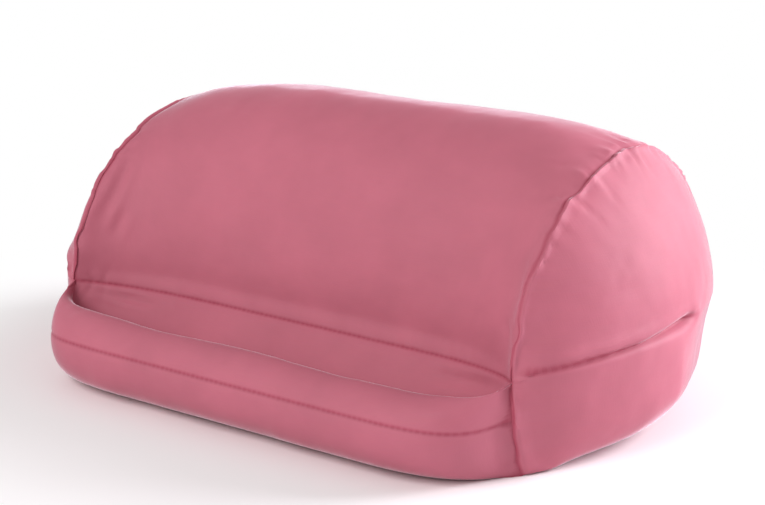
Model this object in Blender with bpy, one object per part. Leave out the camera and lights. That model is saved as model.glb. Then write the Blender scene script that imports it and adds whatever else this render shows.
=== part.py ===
"""Beanbag tablet stand: a bead-filled log with a dished rest face, a filled lip in front, a trough between.

The cover is sewn from seven panels. A zip along the lower back lets the two filled inner bags out.
Metres, +Z up. X runs along the log, -Y is the side that faces the reader, and the origin is at the
middle of the underside.
"""

import math

import bmesh
import bpy
from mathutils import Vector

# Driving dimensions: the whole stand
DEPTH = 0.252
HEIGHT = 0.160
SEAM_X = 0.150  # from the middle to each end seam
FRONT_Y = -DEPTH / 2
BACK_Y = DEPTH / 2

# The log
END_BULGE = 0.042  # how far an end panel swells past its seam
LOG_AXIS_Z = 0.054  # height of the widest part of the log
CROWN_SEAM_Y = 0.030
CROWN_SEAM_Z = 0.149
CROWN_MIDDLE_Y = 0.020
CROWN_MIDDLE_Z = HEIGHT
LEFT_SAG = 0.006  # the crown has sunk this far at the left end
REST_MIDDLE_IN = 0.076  # behind the front: the foot of the rest face at the middle
BACK_SEAM_IN = 0.004
BACK_SEAM_Y = BACK_Y - BACK_SEAM_IN
CREASE_IN = 0.071  # behind the front: the fold between the rest face and the trough
CREASE_Z = 0.046
REST_MIDDLE_Y = FRONT_Y + REST_MIDDLE_IN
CREASE_Y = FRONT_Y + CREASE_IN

# The corner, where the lip's top runs into the end seam
CORNER_IN = 0.047
CORNER_FOOT_IN = 0.0565
CORNER_Y = FRONT_Y + CORNER_IN
CORNER_FOOT_Y = FRONT_Y + CORNER_FOOT_IN
CORNER_Z = 0.0505
CORNER_BOW = 0.003
CORNER_LEAN_POWER = 0.8  # how early the lip's front rises along the end seam

# The lip
LIP_FOOT_IN = 0.028
LIP_TOP_IN = 0.0195
LIP_FOOT_Y = FRONT_Y + LIP_FOOT_IN
LIP_TOP_Y = FRONT_Y + LIP_TOP_IN
LIP_WIDEST_Z = 0.022
LIP_TOP_Z = 0.0445
FRONT_SEAM_MIDDLE_Z = 0.0315
FRONT_SEAM_END_Z = 0.0250

# The trough
TROUGH_FRONT_IN = 0.035
TROUGH_WIDTH = 0.012
TROUGH_FRONT_Y = FRONT_Y + TROUGH_FRONT_IN
TROUGH_REAR_Y = TROUGH_FRONT_Y + TROUGH_WIDTH
TROUGH_Z = 0.0125
WALL_BOW = 0.002

# The zip, low on the back
ZIP_IN = 0.005
ZIP_Y = BACK_Y - ZIP_IN
FOOT_RADIUS = 0.015  # rounding between the back and the underside
ZIP_ABOVE_FOOT = 0.012
ZIP_Z = FOOT_RADIUS + ZIP_ABOVE_FOOT
ZIP_SLOT = 0.012
ZIP_ROOM = 0.006  # the bags keep this far behind the zip
ABOVE_ZIP_IN = 0.60  # shares of the way in and down, from the widest part to the zip
ABOVE_ZIP_DOWN = 0.55

# Cloth
COVER_THICKNESS = 0.0010
LINER_THICKNESS = 0.0008
DIVIDER_THICKNESS = 0.0010
CLEARANCE = 0.0003  # between two pieces that touch
SEAM_GAP = 0.0009  # between two panels at their seam
SLACK = 0.0016  # looseness of a bag in the cover
BEAD_GAP = 0.0008
CORNER_ROOM = 0.0025  # the log's bag stays this far behind the pinched corner
CORNER_REACH = 0.040  # and is drawn back this far round it
PATCH_THICKNESS = 0.0006
PINCH_GAP = 0.0014  # where the trough's walls meet in the corner
LIP_BAG_SHARE = 0.965  # the lip's bag stops this share of the way to the end seam
LIP_BAG_TIP = 0.6  # how full it still is there

# Forms: how late each shape turns towards the end seams, and how square the log's front is
SAG_POWER = 5.0
DISH_POWER = 6.0
LIP_POWER = 8.0
TROUGH_POWER = 14.0
FRONT_SEAM_POWER = 8.0
REST_SEAM_POWER = 1.85
REST_MIDDLE_POWER = 1.7
UPPER_END_POWER = 1.8  # low powers swell soon after the seam
BAND_RADIUS = 0.042  # rounding of an end's lower half
BAND_TURN = 0.5  # above this share of its height the lower half turns in to the crease
UPPER_REAR_POWER = 1.8  # low powers start to fall off earlier on the way to the back
LOWER_REAR_POWER = 1.2
REAR_ROOT = 0.75
END_CREASE_RUN = 0.67  # it runs this share of the way from the corner to the back
END_CREASE_WIDTH = 0.012
END_CREASE_RISE = 0.0085
END_CREASE_SHARE = 0.40  # share of the swelling that the end crease takes away where it is deepest
END_CREASE_SKEW = 1.6  # over 1, it is deepest past its middle

# Zip hardware
TAPE_THICKNESS = 0.0006
TAPE_WIDTH = 0.0080
TOOTH_PITCH = 0.0030
TOOTH_ROOT = 0.0010
TOOTH_TIP = 0.0012
TOOTH_REACH = 0.0012  # past the middle line
SPINE_NEAR = 0.0020  # from the middle line
SPINE_FAR = 0.0036
TEETH_THICKNESS = 0.0024
SLIDER_FROM_SEAM = 0.0165
SLIDER_X = SEAM_X - SLIDER_FROM_SEAM  # middle of the slider with the zip closed
SLIDER_LENGTH = 0.0120
SLIDER_NOSE_WIDTH = 0.0104
SLIDER_TAIL_WIDTH = 0.0094
SLIDER_PLATE = 0.0012
SLIDER_FLANGE = 0.0008
SLIDER_TAIL_SHARE = 0.33  # its sides run straight from the tail to this share of its half length
SLIDER_SHOULDER_SHARE = 0.50  # and it is widest at this share towards the nose
POST_WIDTH = 0.0028
POST_LENGTH = 0.0042
POST_INSET = 0.0004  # from the slider's nose
STOP_LENGTH = 0.0024
STOP_THICKNESS = 0.0030
LEFT_STOP_FROM_SEAM = 0.0060
RIGHT_STOP_FROM_SEAM = 0.0080
LEFT_STOP_X = LEFT_STOP_FROM_SEAM - SEAM_X
RIGHT_STOP_X = SEAM_X - RIGHT_STOP_FROM_SEAM
BAIL_LENGTH = 0.0064
BAIL_WIDTH = 0.0018
BAIL_BAR = 0.0009
BAIL_OPENING = 0.0017
PULL_LENGTH = 0.0250
PULL_WIDTH = 0.0074
PULL_NECK_WIDTH = 0.0062
PULL_THICKNESS = 0.0009
PULL_EYE_LENGTH = 0.0042
PULL_EYE_WIDTH = 0.0028
PULL_GRIP_HOLE = 0.0018  # radius

# Divisions of the surfaces
STATION_ANGLES = (0, 10, 20, 30, 40, 50, 60, 70, 76, 90)  # degrees, whose sines are shares of SEAM_X
LOWER_FRONT_STEPS = 3
UPPER_FRONT_STEPS = 4
DIP_STEPS = 4
WALL_STEPS = 3
REST_STEPS = 10
BACK_STEPS = 8
BASE_STEPS = 6
DIVIDER_STEPS = (0, 2, 4, 6)  # the points of the lip's front that the divider ends on
END_ROW_SHARES = (0.10, 0.26, 0.50, 0.76, 0.93)
LEAST_MITRE = 0.70
PINCH_FACES = 6
PULL_ROUND_STEPS = 8
SHARP_ANGLE = math.radians(50)

PANELS = (
    "log_panel",
    "trough_panel",
    "lip_front_panel",
    "back_strip",
    "base_panel",
    "end_panel_left",
    "end_panel_right",
)

PINK = (0.66, 0.20, 0.27)
PINK_DEEP = (0.60, 0.17, 0.24)
CALICO = (0.78, 0.74, 0.66)
BEAD_WHITE = (0.90, 0.90, 0.88)
ZIP_PINK = (0.50, 0.13, 0.19)
ZIP_METAL = (0.56, 0.55, 0.53)


def clear_scene():
    for obj in list(bpy.data.objects):
        bpy.data.objects.remove(obj, do_unlink=True)


def material(name, colour, roughness, metallic=0.0):
    made = bpy.data.materials.new(name)
    made.use_nodes = True
    shader = made.node_tree.nodes["Principled BSDF"]
    shader.inputs["Base Color"].default_value = (*colour, 1.0)
    shader.inputs["Roughness"].default_value = roughness
    shader.inputs["Metallic"].default_value = metallic
    made.diffuse_color = (*colour, 1.0)
    return made


def mix(start, end, share):
    return start + (end - start) * share


def fullness(x, power):
    """1 at the middle and 0 at the end seams."""
    return 1.0 - min(1.0, abs(x) / SEAM_X) ** power


def stations():
    right = [SEAM_X * math.sin(math.radians(angle)) for angle in STATION_ANGLES]
    return [*[-x for x in right[:0:-1]], *right]


# The outline of one slice across the stand, as (y, z) points


def front_seam_z(x):
    return mix(FRONT_SEAM_END_Z, FRONT_SEAM_MIDDLE_Z, fullness(x, FRONT_SEAM_POWER))


def lip_section(step, x):
    """A point of the full lip's front, from the underside up to the top, with its seam as high as at x."""
    if step <= LOWER_FRONT_STEPS:
        angle = math.pi / 2 * step / LOWER_FRONT_STEPS
        y = mix(LIP_FOOT_Y, FRONT_Y, math.sin(angle))
        return Vector((y, LIP_WIDEST_Z * (1 - math.cos(angle))))
    seam = math.asin((front_seam_z(x) - LIP_WIDEST_Z) / (LIP_TOP_Z - LIP_WIDEST_Z))
    share = (step - LOWER_FRONT_STEPS - 1) / (UPPER_FRONT_STEPS - 1)
    angle = mix(seam, math.pi / 2, share)
    y = mix(LIP_TOP_Y, FRONT_Y, math.cos(angle))
    return Vector((y, mix(LIP_WIDEST_Z, LIP_TOP_Z, math.sin(angle))))


def corner_section(step, x):
    """The same point where the lip has run into the end seam."""
    rise = (lip_section(step, x).y / LIP_TOP_Z) ** CORNER_LEAN_POWER
    y = mix(CORNER_FOOT_Y, CORNER_Y, rise) - CORNER_BOW * math.sin(math.pi * rise)
    return Vector((y, CORNER_Z * rise))


def corner():
    return Vector((CORNER_Y, CORNER_Z))


def front_curve(x):
    share = math.sqrt(fullness(x, LIP_POWER))
    steps = range(LOWER_FRONT_STEPS + UPPER_FRONT_STEPS + 1)
    return [corner_section(k, x).lerp(lip_section(k, x), share) for k in steps]


def trough_floor(x):
    """The front, middle and rear of the trough's floor, which closes up at the end seams."""
    share = fullness(x, TROUGH_POWER)
    middle_y = (TROUGH_FRONT_Y + TROUGH_REAR_Y) / 2
    ys = (TROUGH_FRONT_Y, middle_y, TROUGH_REAR_Y)
    return [corner().lerp(Vector((y, TROUGH_Z)), share) for y in ys]


def crease(x):
    return corner().lerp(Vector((CREASE_Y, CREASE_Z)), fullness(x, DISH_POWER))


def dip_curve(x):
    """Down the lip's rear side, from its top to the trough's floor."""
    top = front_curve(x)[-1]
    foot = trough_floor(x)[0]
    angles = [math.pi / 2 * k / DIP_STEPS for k in range(DIP_STEPS + 1)]
    points = []
    for angle in angles:
        points.append(Vector((mix(top.x, foot.x, math.sin(angle)), mix(foot.y, top.y, math.cos(angle)))))
    return points


def wall_curve(x):
    """Up the trough's rear wall to the crease."""
    foot = trough_floor(x)[2]
    top = crease(x)
    bow = WALL_BOW * fullness(x, TROUGH_POWER)
    points = []
    for k in range(WALL_STEPS + 1):
        share = k / WALL_STEPS
        point = foot.lerp(top, share)
        point.x -= bow * math.sin(math.pi * share)
        points.append(point)
    return points


def crown(x):
    share = fullness(x, SAG_POWER)
    sag = LEFT_SAG * max(0.0, -x / SEAM_X) ** 2
    return Vector((mix(CROWN_SEAM_Y, CROWN_MIDDLE_Y, share), mix(CROWN_SEAM_Z, CROWN_MIDDLE_Z, share) - sag))


def rest_curve(x, steps):
    """Up the rest face from the log's front to its crown."""
    dish = fullness(x, DISH_POWER)
    top = crown(x)
    depth = top.x - mix(CORNER_Y, REST_MIDDLE_Y, dish)
    power = 2 / mix(REST_SEAM_POWER, REST_MIDDLE_POWER, dish)
    points = []
    for k in range(steps + 1):
        angle = math.pi / 2 * k / steps
        y = top.x - depth * max(0.0, math.cos(angle)) ** power
        points.append(Vector((y, mix(LOG_AXIS_Z, top.y, math.sin(angle) ** power))))
    return points


def back_curve(x, steps):
    """Down the back from the crown to the widest part."""
    top = crown(x)
    depth = mix(BACK_SEAM_Y, BACK_Y, fullness(x, SAG_POWER)) - top.x
    points = []
    for k in range(steps + 1):
        angle = math.pi / 2 * k / steps
        points.append(Vector((top.x + depth * math.sin(angle), mix(LOG_AXIS_Z, top.y, math.cos(angle)))))
    return points


def zip_top():
    return ZIP_Z + ZIP_SLOT / 2


def zip_bottom():
    return ZIP_Z - ZIP_SLOT / 2


def lower_back_curve(x, set_in):
    """From the widest part down past the zip and round to the underside."""
    widest = back_curve(x, 1)[-1]
    flat = ZIP_Y - set_in
    above_zip = Vector((mix(widest.x, flat, ABOVE_ZIP_IN), mix(LOG_AXIS_Z, zip_top(), ABOVE_ZIP_DOWN)))
    points = [widest, above_zip]
    points.append(Vector((flat, zip_top())))
    points.append(Vector((flat, zip_bottom())))
    centre = Vector((flat - FOOT_RADIUS, FOOT_RADIUS))
    for angle in (0, math.pi / 4, math.pi / 2):
        points.append(centre + FOOT_RADIUS * Vector((math.cos(angle), -math.sin(angle))))
    return points


def base_line(start, end, steps):
    return [start.lerp(end, k / steps) for k in range(steps + 1)]


def divider_line(x, front_steps):
    """Up the divider under the trough, which follows these points of the lip's front at the end seams."""
    share = fullness(x, TROUGH_POWER)
    middle_y = trough_floor(0)[1].x
    count = len(front_steps)
    points = []
    for k, step in enumerate(front_steps):
        middle = Vector((middle_y, TROUGH_Z * k / count))
        points.append(corner_section(step, x).lerp(middle, share))
    return [*points, trough_floor(x)[1]]


# Closed surfaces built from those slices


def joined(*curves):
    """Curves that share their end points, as one list."""
    points = list(curves[0])
    for curve in curves[1:]:
        points += curve[1:]
    return points


class Surface:
    """A closed surface of triangles, each with the name of the panel that it belongs to."""

    def __init__(self):
        self.mesh = bmesh.new()
        self.found = {}
        self.panel_of = {}

    def vertex(self, point):
        key = tuple(round(c, 7) for c in point)
        if key not in self.found:
            self.found[key] = self.mesh.verts.new(point)
        return self.found[key]

    def triangle(self, points, panel):
        corners = [self.vertex(p) for p in points]
        if len(set(corners)) == 3:
            self.panel_of[self.mesh.faces.new(corners)] = panel

    def quad(self, a, b, c, d, panel, turned):
        """Corners in order round the quad. Turned takes the other diagonal."""
        halves = ((a, b, d), (b, c, d)) if turned else ((a, b, c), (a, c, d))
        for half in halves:
            self.triangle(half, panel)

    def grid(self, rows, panels):
        """Rows of points along X. panels names the panel of each step along a row."""
        for low, high in zip(rows, rows[1:]):
            turned = low[0].x + high[0].x > 0
            for k, panel in enumerate(panels):
                self.quad(low[k], low[k + 1], high[k + 1], high[k], panel, turned)

    def finish(self):
        bmesh.ops.recalc_face_normals(self.mesh, faces=self.mesh.faces[:])
        self.mesh.normal_update()
        return self

    def inward(self):
        """For each point, how it moves when the surface is set in by one metre."""
        moves = {}
        for vert in self.mesh.verts:
            normal = Vector()
            for loop in vert.link_loops:
                normal += loop.face.normal * loop.calc_angle()
            normal.normalize()
            least = min(normal.dot(face.normal) for face in vert.link_faces)
            moves[vert] = -normal / max(LEAST_MITRE, least)
        return moves


def at_x(x, outline):
    return [Vector((x, point.x, point.y)) for point in outline]


def end_rows():
    """Shares of the way from the end's crease to its outline, below it as negative numbers."""
    return [-1.0, *[-r for r in reversed(END_ROW_SHARES)], 0.0, *END_ROW_SHARES, 1.0]


def gap_to(outline, point):
    """How far a point is from the nearest edge of an outline."""
    gaps = []
    for a, b in zip(outline, outline[1:]):
        along = b - a
        share = (point - a).dot(along) / along.length_squared
        gaps.append((point - a.lerp(b, min(1.0, max(0.0, share)))).length)
    return min(gaps)


def rear_fall(y, power):
    """The share of an end's swelling that is left at y on the way to the back."""
    middle = (CORNER_Y + BACK_SEAM_Y) / 2
    run = min(1.0, max(0.0, (y - middle) / (BACK_SEAM_Y - middle)))
    return (1 - run ** power) ** REAR_ROOT


def end_swell(point, angle, share, lower):
    """How far an end stands out at a point, from 0 to 1. The angle is 0 at the corner and pi at the back."""
    along = math.sin(min(angle, math.pi / 2)) ** UPPER_END_POWER * rear_fall(point.x, UPPER_REAR_POWER)
    if share >= 0:
        return along * math.sqrt(1 - share * share) ** UPPER_END_POWER
    inset = min(1.0, gap_to(lower, point) / BAND_RADIUS)
    band = math.sqrt(1 - (1 - inset) ** 2) * rear_fall(point.x, LOWER_REAR_POWER)
    return mix(band, along, max(0.0, 1 + share / BAND_TURN) ** 2)


def crease_share(point, spine, start):
    """The share of the swelling that the end's crease takes away at a point."""
    length = END_CREASE_RUN * (BACK_SEAM_Y - CORNER_Y)
    run = min(1.0, max(0.0, (point.x - start.x) / length))
    across = math.exp(-(((point - spine).length / END_CREASE_WIDTH) ** 2))
    return END_CREASE_SHARE * math.sin(math.pi * run ** END_CREASE_SKEW) * across


def bulged_end(side, upper, lower, picks):
    """Rows of points over an end, from the lower outline to the upper one, for the picked points of them."""
    first, last = upper[0], upper[-1]
    rows = []
    for share in end_rows():
        row = []
        for k, pick in enumerate(picks):
            angle = math.pi * pick / picks[-1]
            run = (1 - math.cos(angle)) / 2
            spine = first.lerp(last, run)
            spine.y += END_CREASE_RISE * math.sqrt(max(0.0, math.sin(angle)))
            edge = upper[k] if share > 0 else lower[k]
            point = spine.lerp(edge, abs(share))
            swell = end_swell(point, angle, share, lower)
            swell *= 1 - crease_share(point, spine, first)
            row.append(Vector((side * (SEAM_X + END_BULGE * swell), point.x, point.y)))
        rows.append(row)
    rows[0] = at_x(side * SEAM_X, lower)
    rows[-1] = at_x(side * SEAM_X, upper)
    return rows


def add_end(surface, side, upper, lower, picks, panel):
    rows = bulged_end(side, upper, lower, picks)
    for low, high in zip(rows, rows[1:]):
        for k in range(len(low) - 1):
            surface.quad(low[k], low[k + 1], high[k + 1], high[k], panel, False)


def cover_slice(x):
    front = front_curve(x)
    lower_back = lower_back_curve(x, 0)
    return joined(
        front,
        dip_curve(x),
        trough_floor(x),
        wall_curve(x),
        [crease(x), *rest_curve(x, REST_STEPS)],
        back_curve(x, BACK_STEPS),
        lower_back,
        base_line(lower_back[-1], front[0], BASE_STEPS),
    )


def cover_surface():
    surface = Surface()
    trough_steps = (UPPER_FRONT_STEPS - 1) + DIP_STEPS + 2 + WALL_STEPS
    panels = (
        ["lip_front_panel"] * (LOWER_FRONT_STEPS + 1)
        + ["trough_panel"] * trough_steps
        + ["log_panel"] * (1 + REST_STEPS + BACK_STEPS + 2)
        + ["zip_slot"]
        + ["back_strip"] * 3
        + ["base_panel"] * BASE_STEPS
    )
    surface.grid([at_x(x, cover_slice(x)) for x in stations()], panels)
    for side, panel in ((1, "end_panel_right"), (-1, "end_panel_left")):
        x = side * SEAM_X
        lower_back = lower_back_curve(x, 0)
        front = front_curve(x)
        upper = joined([crease(x), *rest_curve(x, REST_STEPS)], back_curve(x, BACK_STEPS))
        base = base_line(front[0], lower_back[-1], BASE_STEPS)
        lower = joined(front[::-1], base, lower_back[::-1])
        add_end(surface, side, upper, lower, range(len(upper)), panel)
    return surface.finish()


def log_slice(x):
    """The slice that the log's bag fills. Its points are every other one of the cover's."""
    widest, _, top, _, foot, _, toe = lower_back_curve(x, ZIP_ROOM)
    divider = divider_line(x, DIVIDER_STEPS)
    rest = [crease(x), *rest_curve(x, REST_STEPS // 2)]
    base = base_line(toe, divider[0], BASE_STEPS // 2)
    lower_back = [widest, top, foot, toe]
    back = back_curve(x, BACK_STEPS // 2)
    return joined(rest, back, lower_back, base, divider, trough_floor(x)[1:], wall_curve(x))


def log_surface():
    """The space for the log's bag: behind the trough, and out into both ends."""
    surface = Surface()
    upper_steps = 1 + REST_STEPS // 2 + BACK_STEPS // 2
    under_steps = 3 + BASE_STEPS // 2
    panels = (
        ["skin"] * (upper_steps + 1)
        + ["mouth", "skin"]
        + ["base"] * (BASE_STEPS // 2)
        + ["skin"] * (len(DIVIDER_STEPS) + 1 + WALL_STEPS)
    )
    surface.grid([at_x(x, log_slice(x)) for x in stations()], panels)
    picks = [0, *range(1, 2 * upper_steps, 2)]
    for side in (1, -1):
        outline = log_slice(side * SEAM_X)
        upper = outline[: upper_steps + 1]
        lower = outline[upper_steps : upper_steps + under_steps + len(DIVIDER_STEPS) + 1][::-1]
        add_end(surface, side, upper, lower, picks, "skin")
    for vert in surface.mesh.verts:
        pinch = Vector((math.copysign(SEAM_X, vert.co.x), *corner()))
        vert.co.y += CORNER_ROOM * max(0.0, 1 - (vert.co - pinch).length / CORNER_REACH)
    return surface.finish()


def lip_slice(x):
    divider = divider_line(x, DIVIDER_STEPS[:1])
    front = front_curve(x)
    return joined(front, dip_curve(x), trough_floor(x)[:2], divider[::-1], [divider[0], front[0]])


def lip_surface():
    """The space for the lip's bag: in front of the trough, short of the end seams."""
    surface = Surface()
    front_steps = LOWER_FRONT_STEPS + UPPER_FRONT_STEPS
    panels = ["skin"] * (front_steps + DIP_STEPS + 1) + ["mouth", "base"]
    slices = [at_x(x, lip_slice(x)) for x in stations()[2:-2]]
    for side in (0, -1):
        ring = slices[side]
        centre = sum(ring[:-1], Vector()) / (len(ring) - 1)
        past = stations()[side] * LIP_BAG_SHARE
        tip_centre = Vector((past, centre.y, centre.z))
        tip = [tip_centre.lerp(Vector((past, p.y, p.z)), LIP_BAG_TIP) for p in ring]
        for a, b, c, d in zip(ring, ring[1:], tip[1:], tip):
            surface.quad(a, b, c, d, "skin", False)
            surface.triangle((d, c, tip_centre), "skin")
    surface.grid(slices, panels)
    return surface.finish()


# Solids cut from those surfaces


def placed(name, mesh_data, mat, origin=Vector()):
    """The bmesh as an object, with its origin where asked."""
    bmesh.ops.translate(mesh_data, verts=mesh_data.verts[:], vec=-origin)
    mesh_data.normal_update()
    mesh = bpy.data.meshes.new(name)
    mesh_data.to_mesh(mesh)
    mesh_data.free()
    mesh.shade_smooth()
    mesh.set_sharp_from_angle(angle=SHARP_ANGLE)
    mesh.materials.append(mat)
    obj = bpy.data.objects.new(name, mesh)
    obj.location = origin
    bpy.context.scene.collection.objects.link(obj)
    return obj


def edge_shift(vert, faces, edges):
    """A point on a panel's edge moves in by half a seam gap, square to that edge."""
    centre = sum((face.calc_center_median() for face in faces), Vector()) / len(faces)
    inward = centre - vert.co
    along = edges[0].other_vert(vert).co - edges[-1].other_vert(vert).co
    if along.length > 0:
        along.normalize()
        inward -= along * inward.dot(along)
    return inward.normalized() * (PINCH_GAP if len(faces) > PINCH_FACES else SEAM_GAP / 2)


def shell_of(surface, faces, set_in, thickness):
    """A sheet of cloth of this thickness, its outer face set in from the chosen faces."""
    moves = surface.inward()
    chosen = set(faces)
    edges_of = {}
    for edge in {e for face in chosen for e in face.edges}:
        if sum(face in chosen for face in edge.link_faces) == 1:
            for vert in edge.verts:
                edges_of.setdefault(vert, []).append(edge)
    made = bmesh.new()
    outer, inner = {}, {}
    for vert in {v for face in chosen for v in face.verts}:
        point = vert.co.copy()
        if vert in edges_of:
            near = [face for face in vert.link_faces if face in chosen]
            point += edge_shift(vert, near, edges_of[vert])
        outer[vert] = made.verts.new(point + moves[vert] * set_in)
        inner[vert] = made.verts.new(point + moves[vert] * (set_in + thickness))
    for face in chosen:
        made.faces.new([outer[v] for v in face.verts])
        made.faces.new([inner[v] for v in reversed(face.verts)])
        for loop in face.loops:
            a, b = loop.vert, loop.link_loop_next.vert
            if sum(other in chosen for other in loop.edge.link_faces) == 1:
                made.faces.new((outer[b], outer[a], inner[a]))
                made.faces.new((outer[b], inner[a], inner[b]))
    return made


def cover_panels(surface, mats):
    for name in PANELS:
        faces = [face for face, panel in surface.panel_of.items() if panel == name]
        mat = mats["lip_cloth"] if name == "lip_front_panel" else mats["cover"]
        placed(name, shell_of(surface, faces, 0.0, COVER_THICKNESS), mat)


def mouth_faces(surface):
    """The filling mouth: one quad of the faces named for it, just right of the middle."""
    faces = [face for face, panel in surface.panel_of.items() if panel == "mouth"]
    faces.sort(key=lambda face: (face.calc_center_median().x < 0, face.calc_center_median().x))
    return faces[:2]


def over_mouth(face, surface):
    """Whether a face near the mouth carries the patch: none does that runs on to the underside."""
    return surface.panel_of[face] == "mouth" or min(vert.co.z for vert in face.verts) > 0


def bag(name, surface, mats):
    """A liner, the patch sewn over its filling mouth, and the beads that fill it."""
    mouth = set(mouth_faces(surface))
    kept = [face for face in surface.mesh.faces if face not in mouth]
    set_in = COVER_THICKNESS + SLACK
    level = COVER_THICKNESS + CLEARANCE
    inner_level = level + LINER_THICKNESS
    liner = shell_of(surface, kept, set_in, LINER_THICKNESS)
    settle(liner, set_in, level, inner_level)
    placed(name + "_liner", liner, mats["liner"])
    near_mouth = {face for lid in mouth for vert in lid.verts for face in vert.link_faces}
    lap = {face for face in near_mouth if over_mouth(face, surface)}
    patch = shell_of(surface, lap, set_in - CLEARANCE - PATCH_THICKNESS, PATCH_THICKNESS)
    placed(name + "_liner_patch", patch, mats["liner"])
    moves = surface.inward()
    fill_in = set_in + LINER_THICKNESS + BEAD_GAP
    fill = bmesh.new()
    verts = {v: fill.verts.new(v.co + moves[v] * fill_in) for v in surface.mesh.verts}
    for face in surface.mesh.faces:
        fill.faces.new([verts[v] for v in face.verts])
    for vert in fill.verts:
        if vert.co.z < fill_in + BEAD_GAP / 2:
            vert.co.z = inner_level + BEAD_GAP
    placed(name + "_bead_fill", fill, mats["beads"])


def settle(made, set_in, level, inner_level):
    """Puts a bag's underside just over the base panel, keeping the cloth's thickness."""
    for vert in made.verts:
        if vert.co.z < set_in + LINER_THICKNESS / 2:
            vert.co.z = level
        elif vert.co.z < set_in + 1.5 * LINER_THICKNESS:
            vert.co.z = inner_level


def divider(mat):
    """The strip that ties the trough's floor down to the base panel, between the two bags."""
    gap = COVER_THICKNESS + CLEARANCE
    reach = stations()[2:-2]
    made = bmesh.new()
    sheets = []
    for side in (-0.5, 0.5):
        rows = []
        for x in reach:
            line = divider_line(x, DIVIDER_STEPS[:2])
            rise = abs(trough_floor(x + gap)[1].y - trough_floor(x - gap)[1].y) / (2 * gap)
            line[-1].y -= gap * math.sqrt(1 + rise * rise)
            line[0].y = gap
            rows.append([made.verts.new((x, p.x + side * DIVIDER_THICKNESS, p.y)) for p in line])
        sheets.append(rows)
    for rows in sheets:
        for low, high in zip(rows, rows[1:]):
            for k in range(len(low) - 1):
                made.faces.new((low[k], low[k + 1], high[k + 1], high[k]))
    front, rear = [outline_of(rows) for rows in sheets]
    for k in range(len(front)):
        made.faces.new((front[k - 1], front[k], rear[k], rear[k - 1]))
    bmesh.ops.recalc_face_normals(made, faces=made.faces[:])
    placed("trough_divider", made, mat)


def outline_of(rows):
    """The points round the edge of a grid, in order."""
    right = [row[-1] for row in rows[1:-1]]
    left = [row[0] for row in rows[1:-1]]
    return [*rows[0], *right, *rows[-1][::-1], *left[::-1]]


# The zip. Its outlines are (x, z) points, and depth runs along Y.


def prism(outline, low, high, to_point):
    """The outline drawn out from low to high. to_point puts the three numbers in order."""
    made = bmesh.new()
    ends = [[made.verts.new(to_point(a, b, depth)) for a, b in outline] for depth in (low, high)]
    made.faces.new(ends[0])
    made.faces.new(ends[1][::-1])
    for k in range(len(outline)):
        made.faces.new((ends[0][k - 1], ends[1][k - 1], ends[1][k], ends[0][k]))
    bmesh.ops.recalc_face_normals(made, faces=made.faces[:])
    return made


def along_y(a, b, depth):
    return Vector((a, depth, b))


def along_z(a, b, depth):
    return Vector((a, b, depth))


def tape_middle():
    return ZIP_Y - COVER_THICKNESS - CLEARANCE - TAPE_THICKNESS / 2


def rectangle(left, right, bottom, top):
    return [(left, bottom), (right, bottom), (right, top), (left, top)]


def centred(width):
    """Depths on each side of the tape's middle."""
    return tape_middle() - width / 2, tape_middle() + width / 2


def tape(name, side, mat):
    near = ZIP_Z + side * (SPINE_FAR + CLEARANCE)
    end = SEAM_X - COVER_THICKNESS
    outline = rectangle(-end, end, near, near + side * TAPE_WIDTH)
    placed(name, prism(outline, *centred(TAPE_THICKNESS), along_y), mat)


def teeth(name, side, mat):
    """One row of moulded teeth on its spine. The two rows sit half a pitch apart."""
    left = LEFT_STOP_X + STOP_LENGTH + CLEARANCE
    right = RIGHT_STOP_X - CLEARANCE
    last = SLIDER_X + SLIDER_LENGTH / 2 - POST_LENGTH - POST_INSET - CLEARANCE - TOOTH_TIP
    first = left + (TOOTH_TIP if side > 0 else TOOTH_TIP + TOOTH_PITCH / 2)
    count = int((last - first) / TOOTH_PITCH) + 1
    outline = [(left, SPINE_FAR), (right, SPINE_FAR), (right, SPINE_NEAR)]
    for k in reversed(range(count)):
        x = first + k * TOOTH_PITCH
        outline.append((x + TOOTH_ROOT / 2, SPINE_NEAR))
        outline.append((x + TOOTH_TIP / 2, -TOOTH_REACH))
        outline.append((x - TOOTH_TIP / 2, -TOOTH_REACH))
        outline.append((x - TOOTH_ROOT / 2, SPINE_NEAR))
    outline.append((left, SPINE_NEAR))
    outline = [(x, ZIP_Z + side * z) for x, z in outline]
    placed(name, prism(outline, *centred(TEETH_THICKNESS), along_y), mat)


def stops(mat):
    end = LEFT_STOP_X + STOP_LENGTH
    block = rectangle(LEFT_STOP_X, end, ZIP_Z - SPINE_FAR, ZIP_Z + SPINE_FAR)
    placed("zip_bottom_stop", prism(block, *centred(STOP_THICKNESS), along_y), mat)
    for name, side in (("zip_top_stop_upper", 1), ("zip_top_stop_lower", -1)):
        low, high = ZIP_Z + side * SPINE_NEAR, ZIP_Z + side * SPINE_FAR
        block = rectangle(RIGHT_STOP_X, RIGHT_STOP_X + STOP_LENGTH, low, high)
        placed(name, prism(block, *centred(STOP_THICKNESS), along_y), mat)


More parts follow.
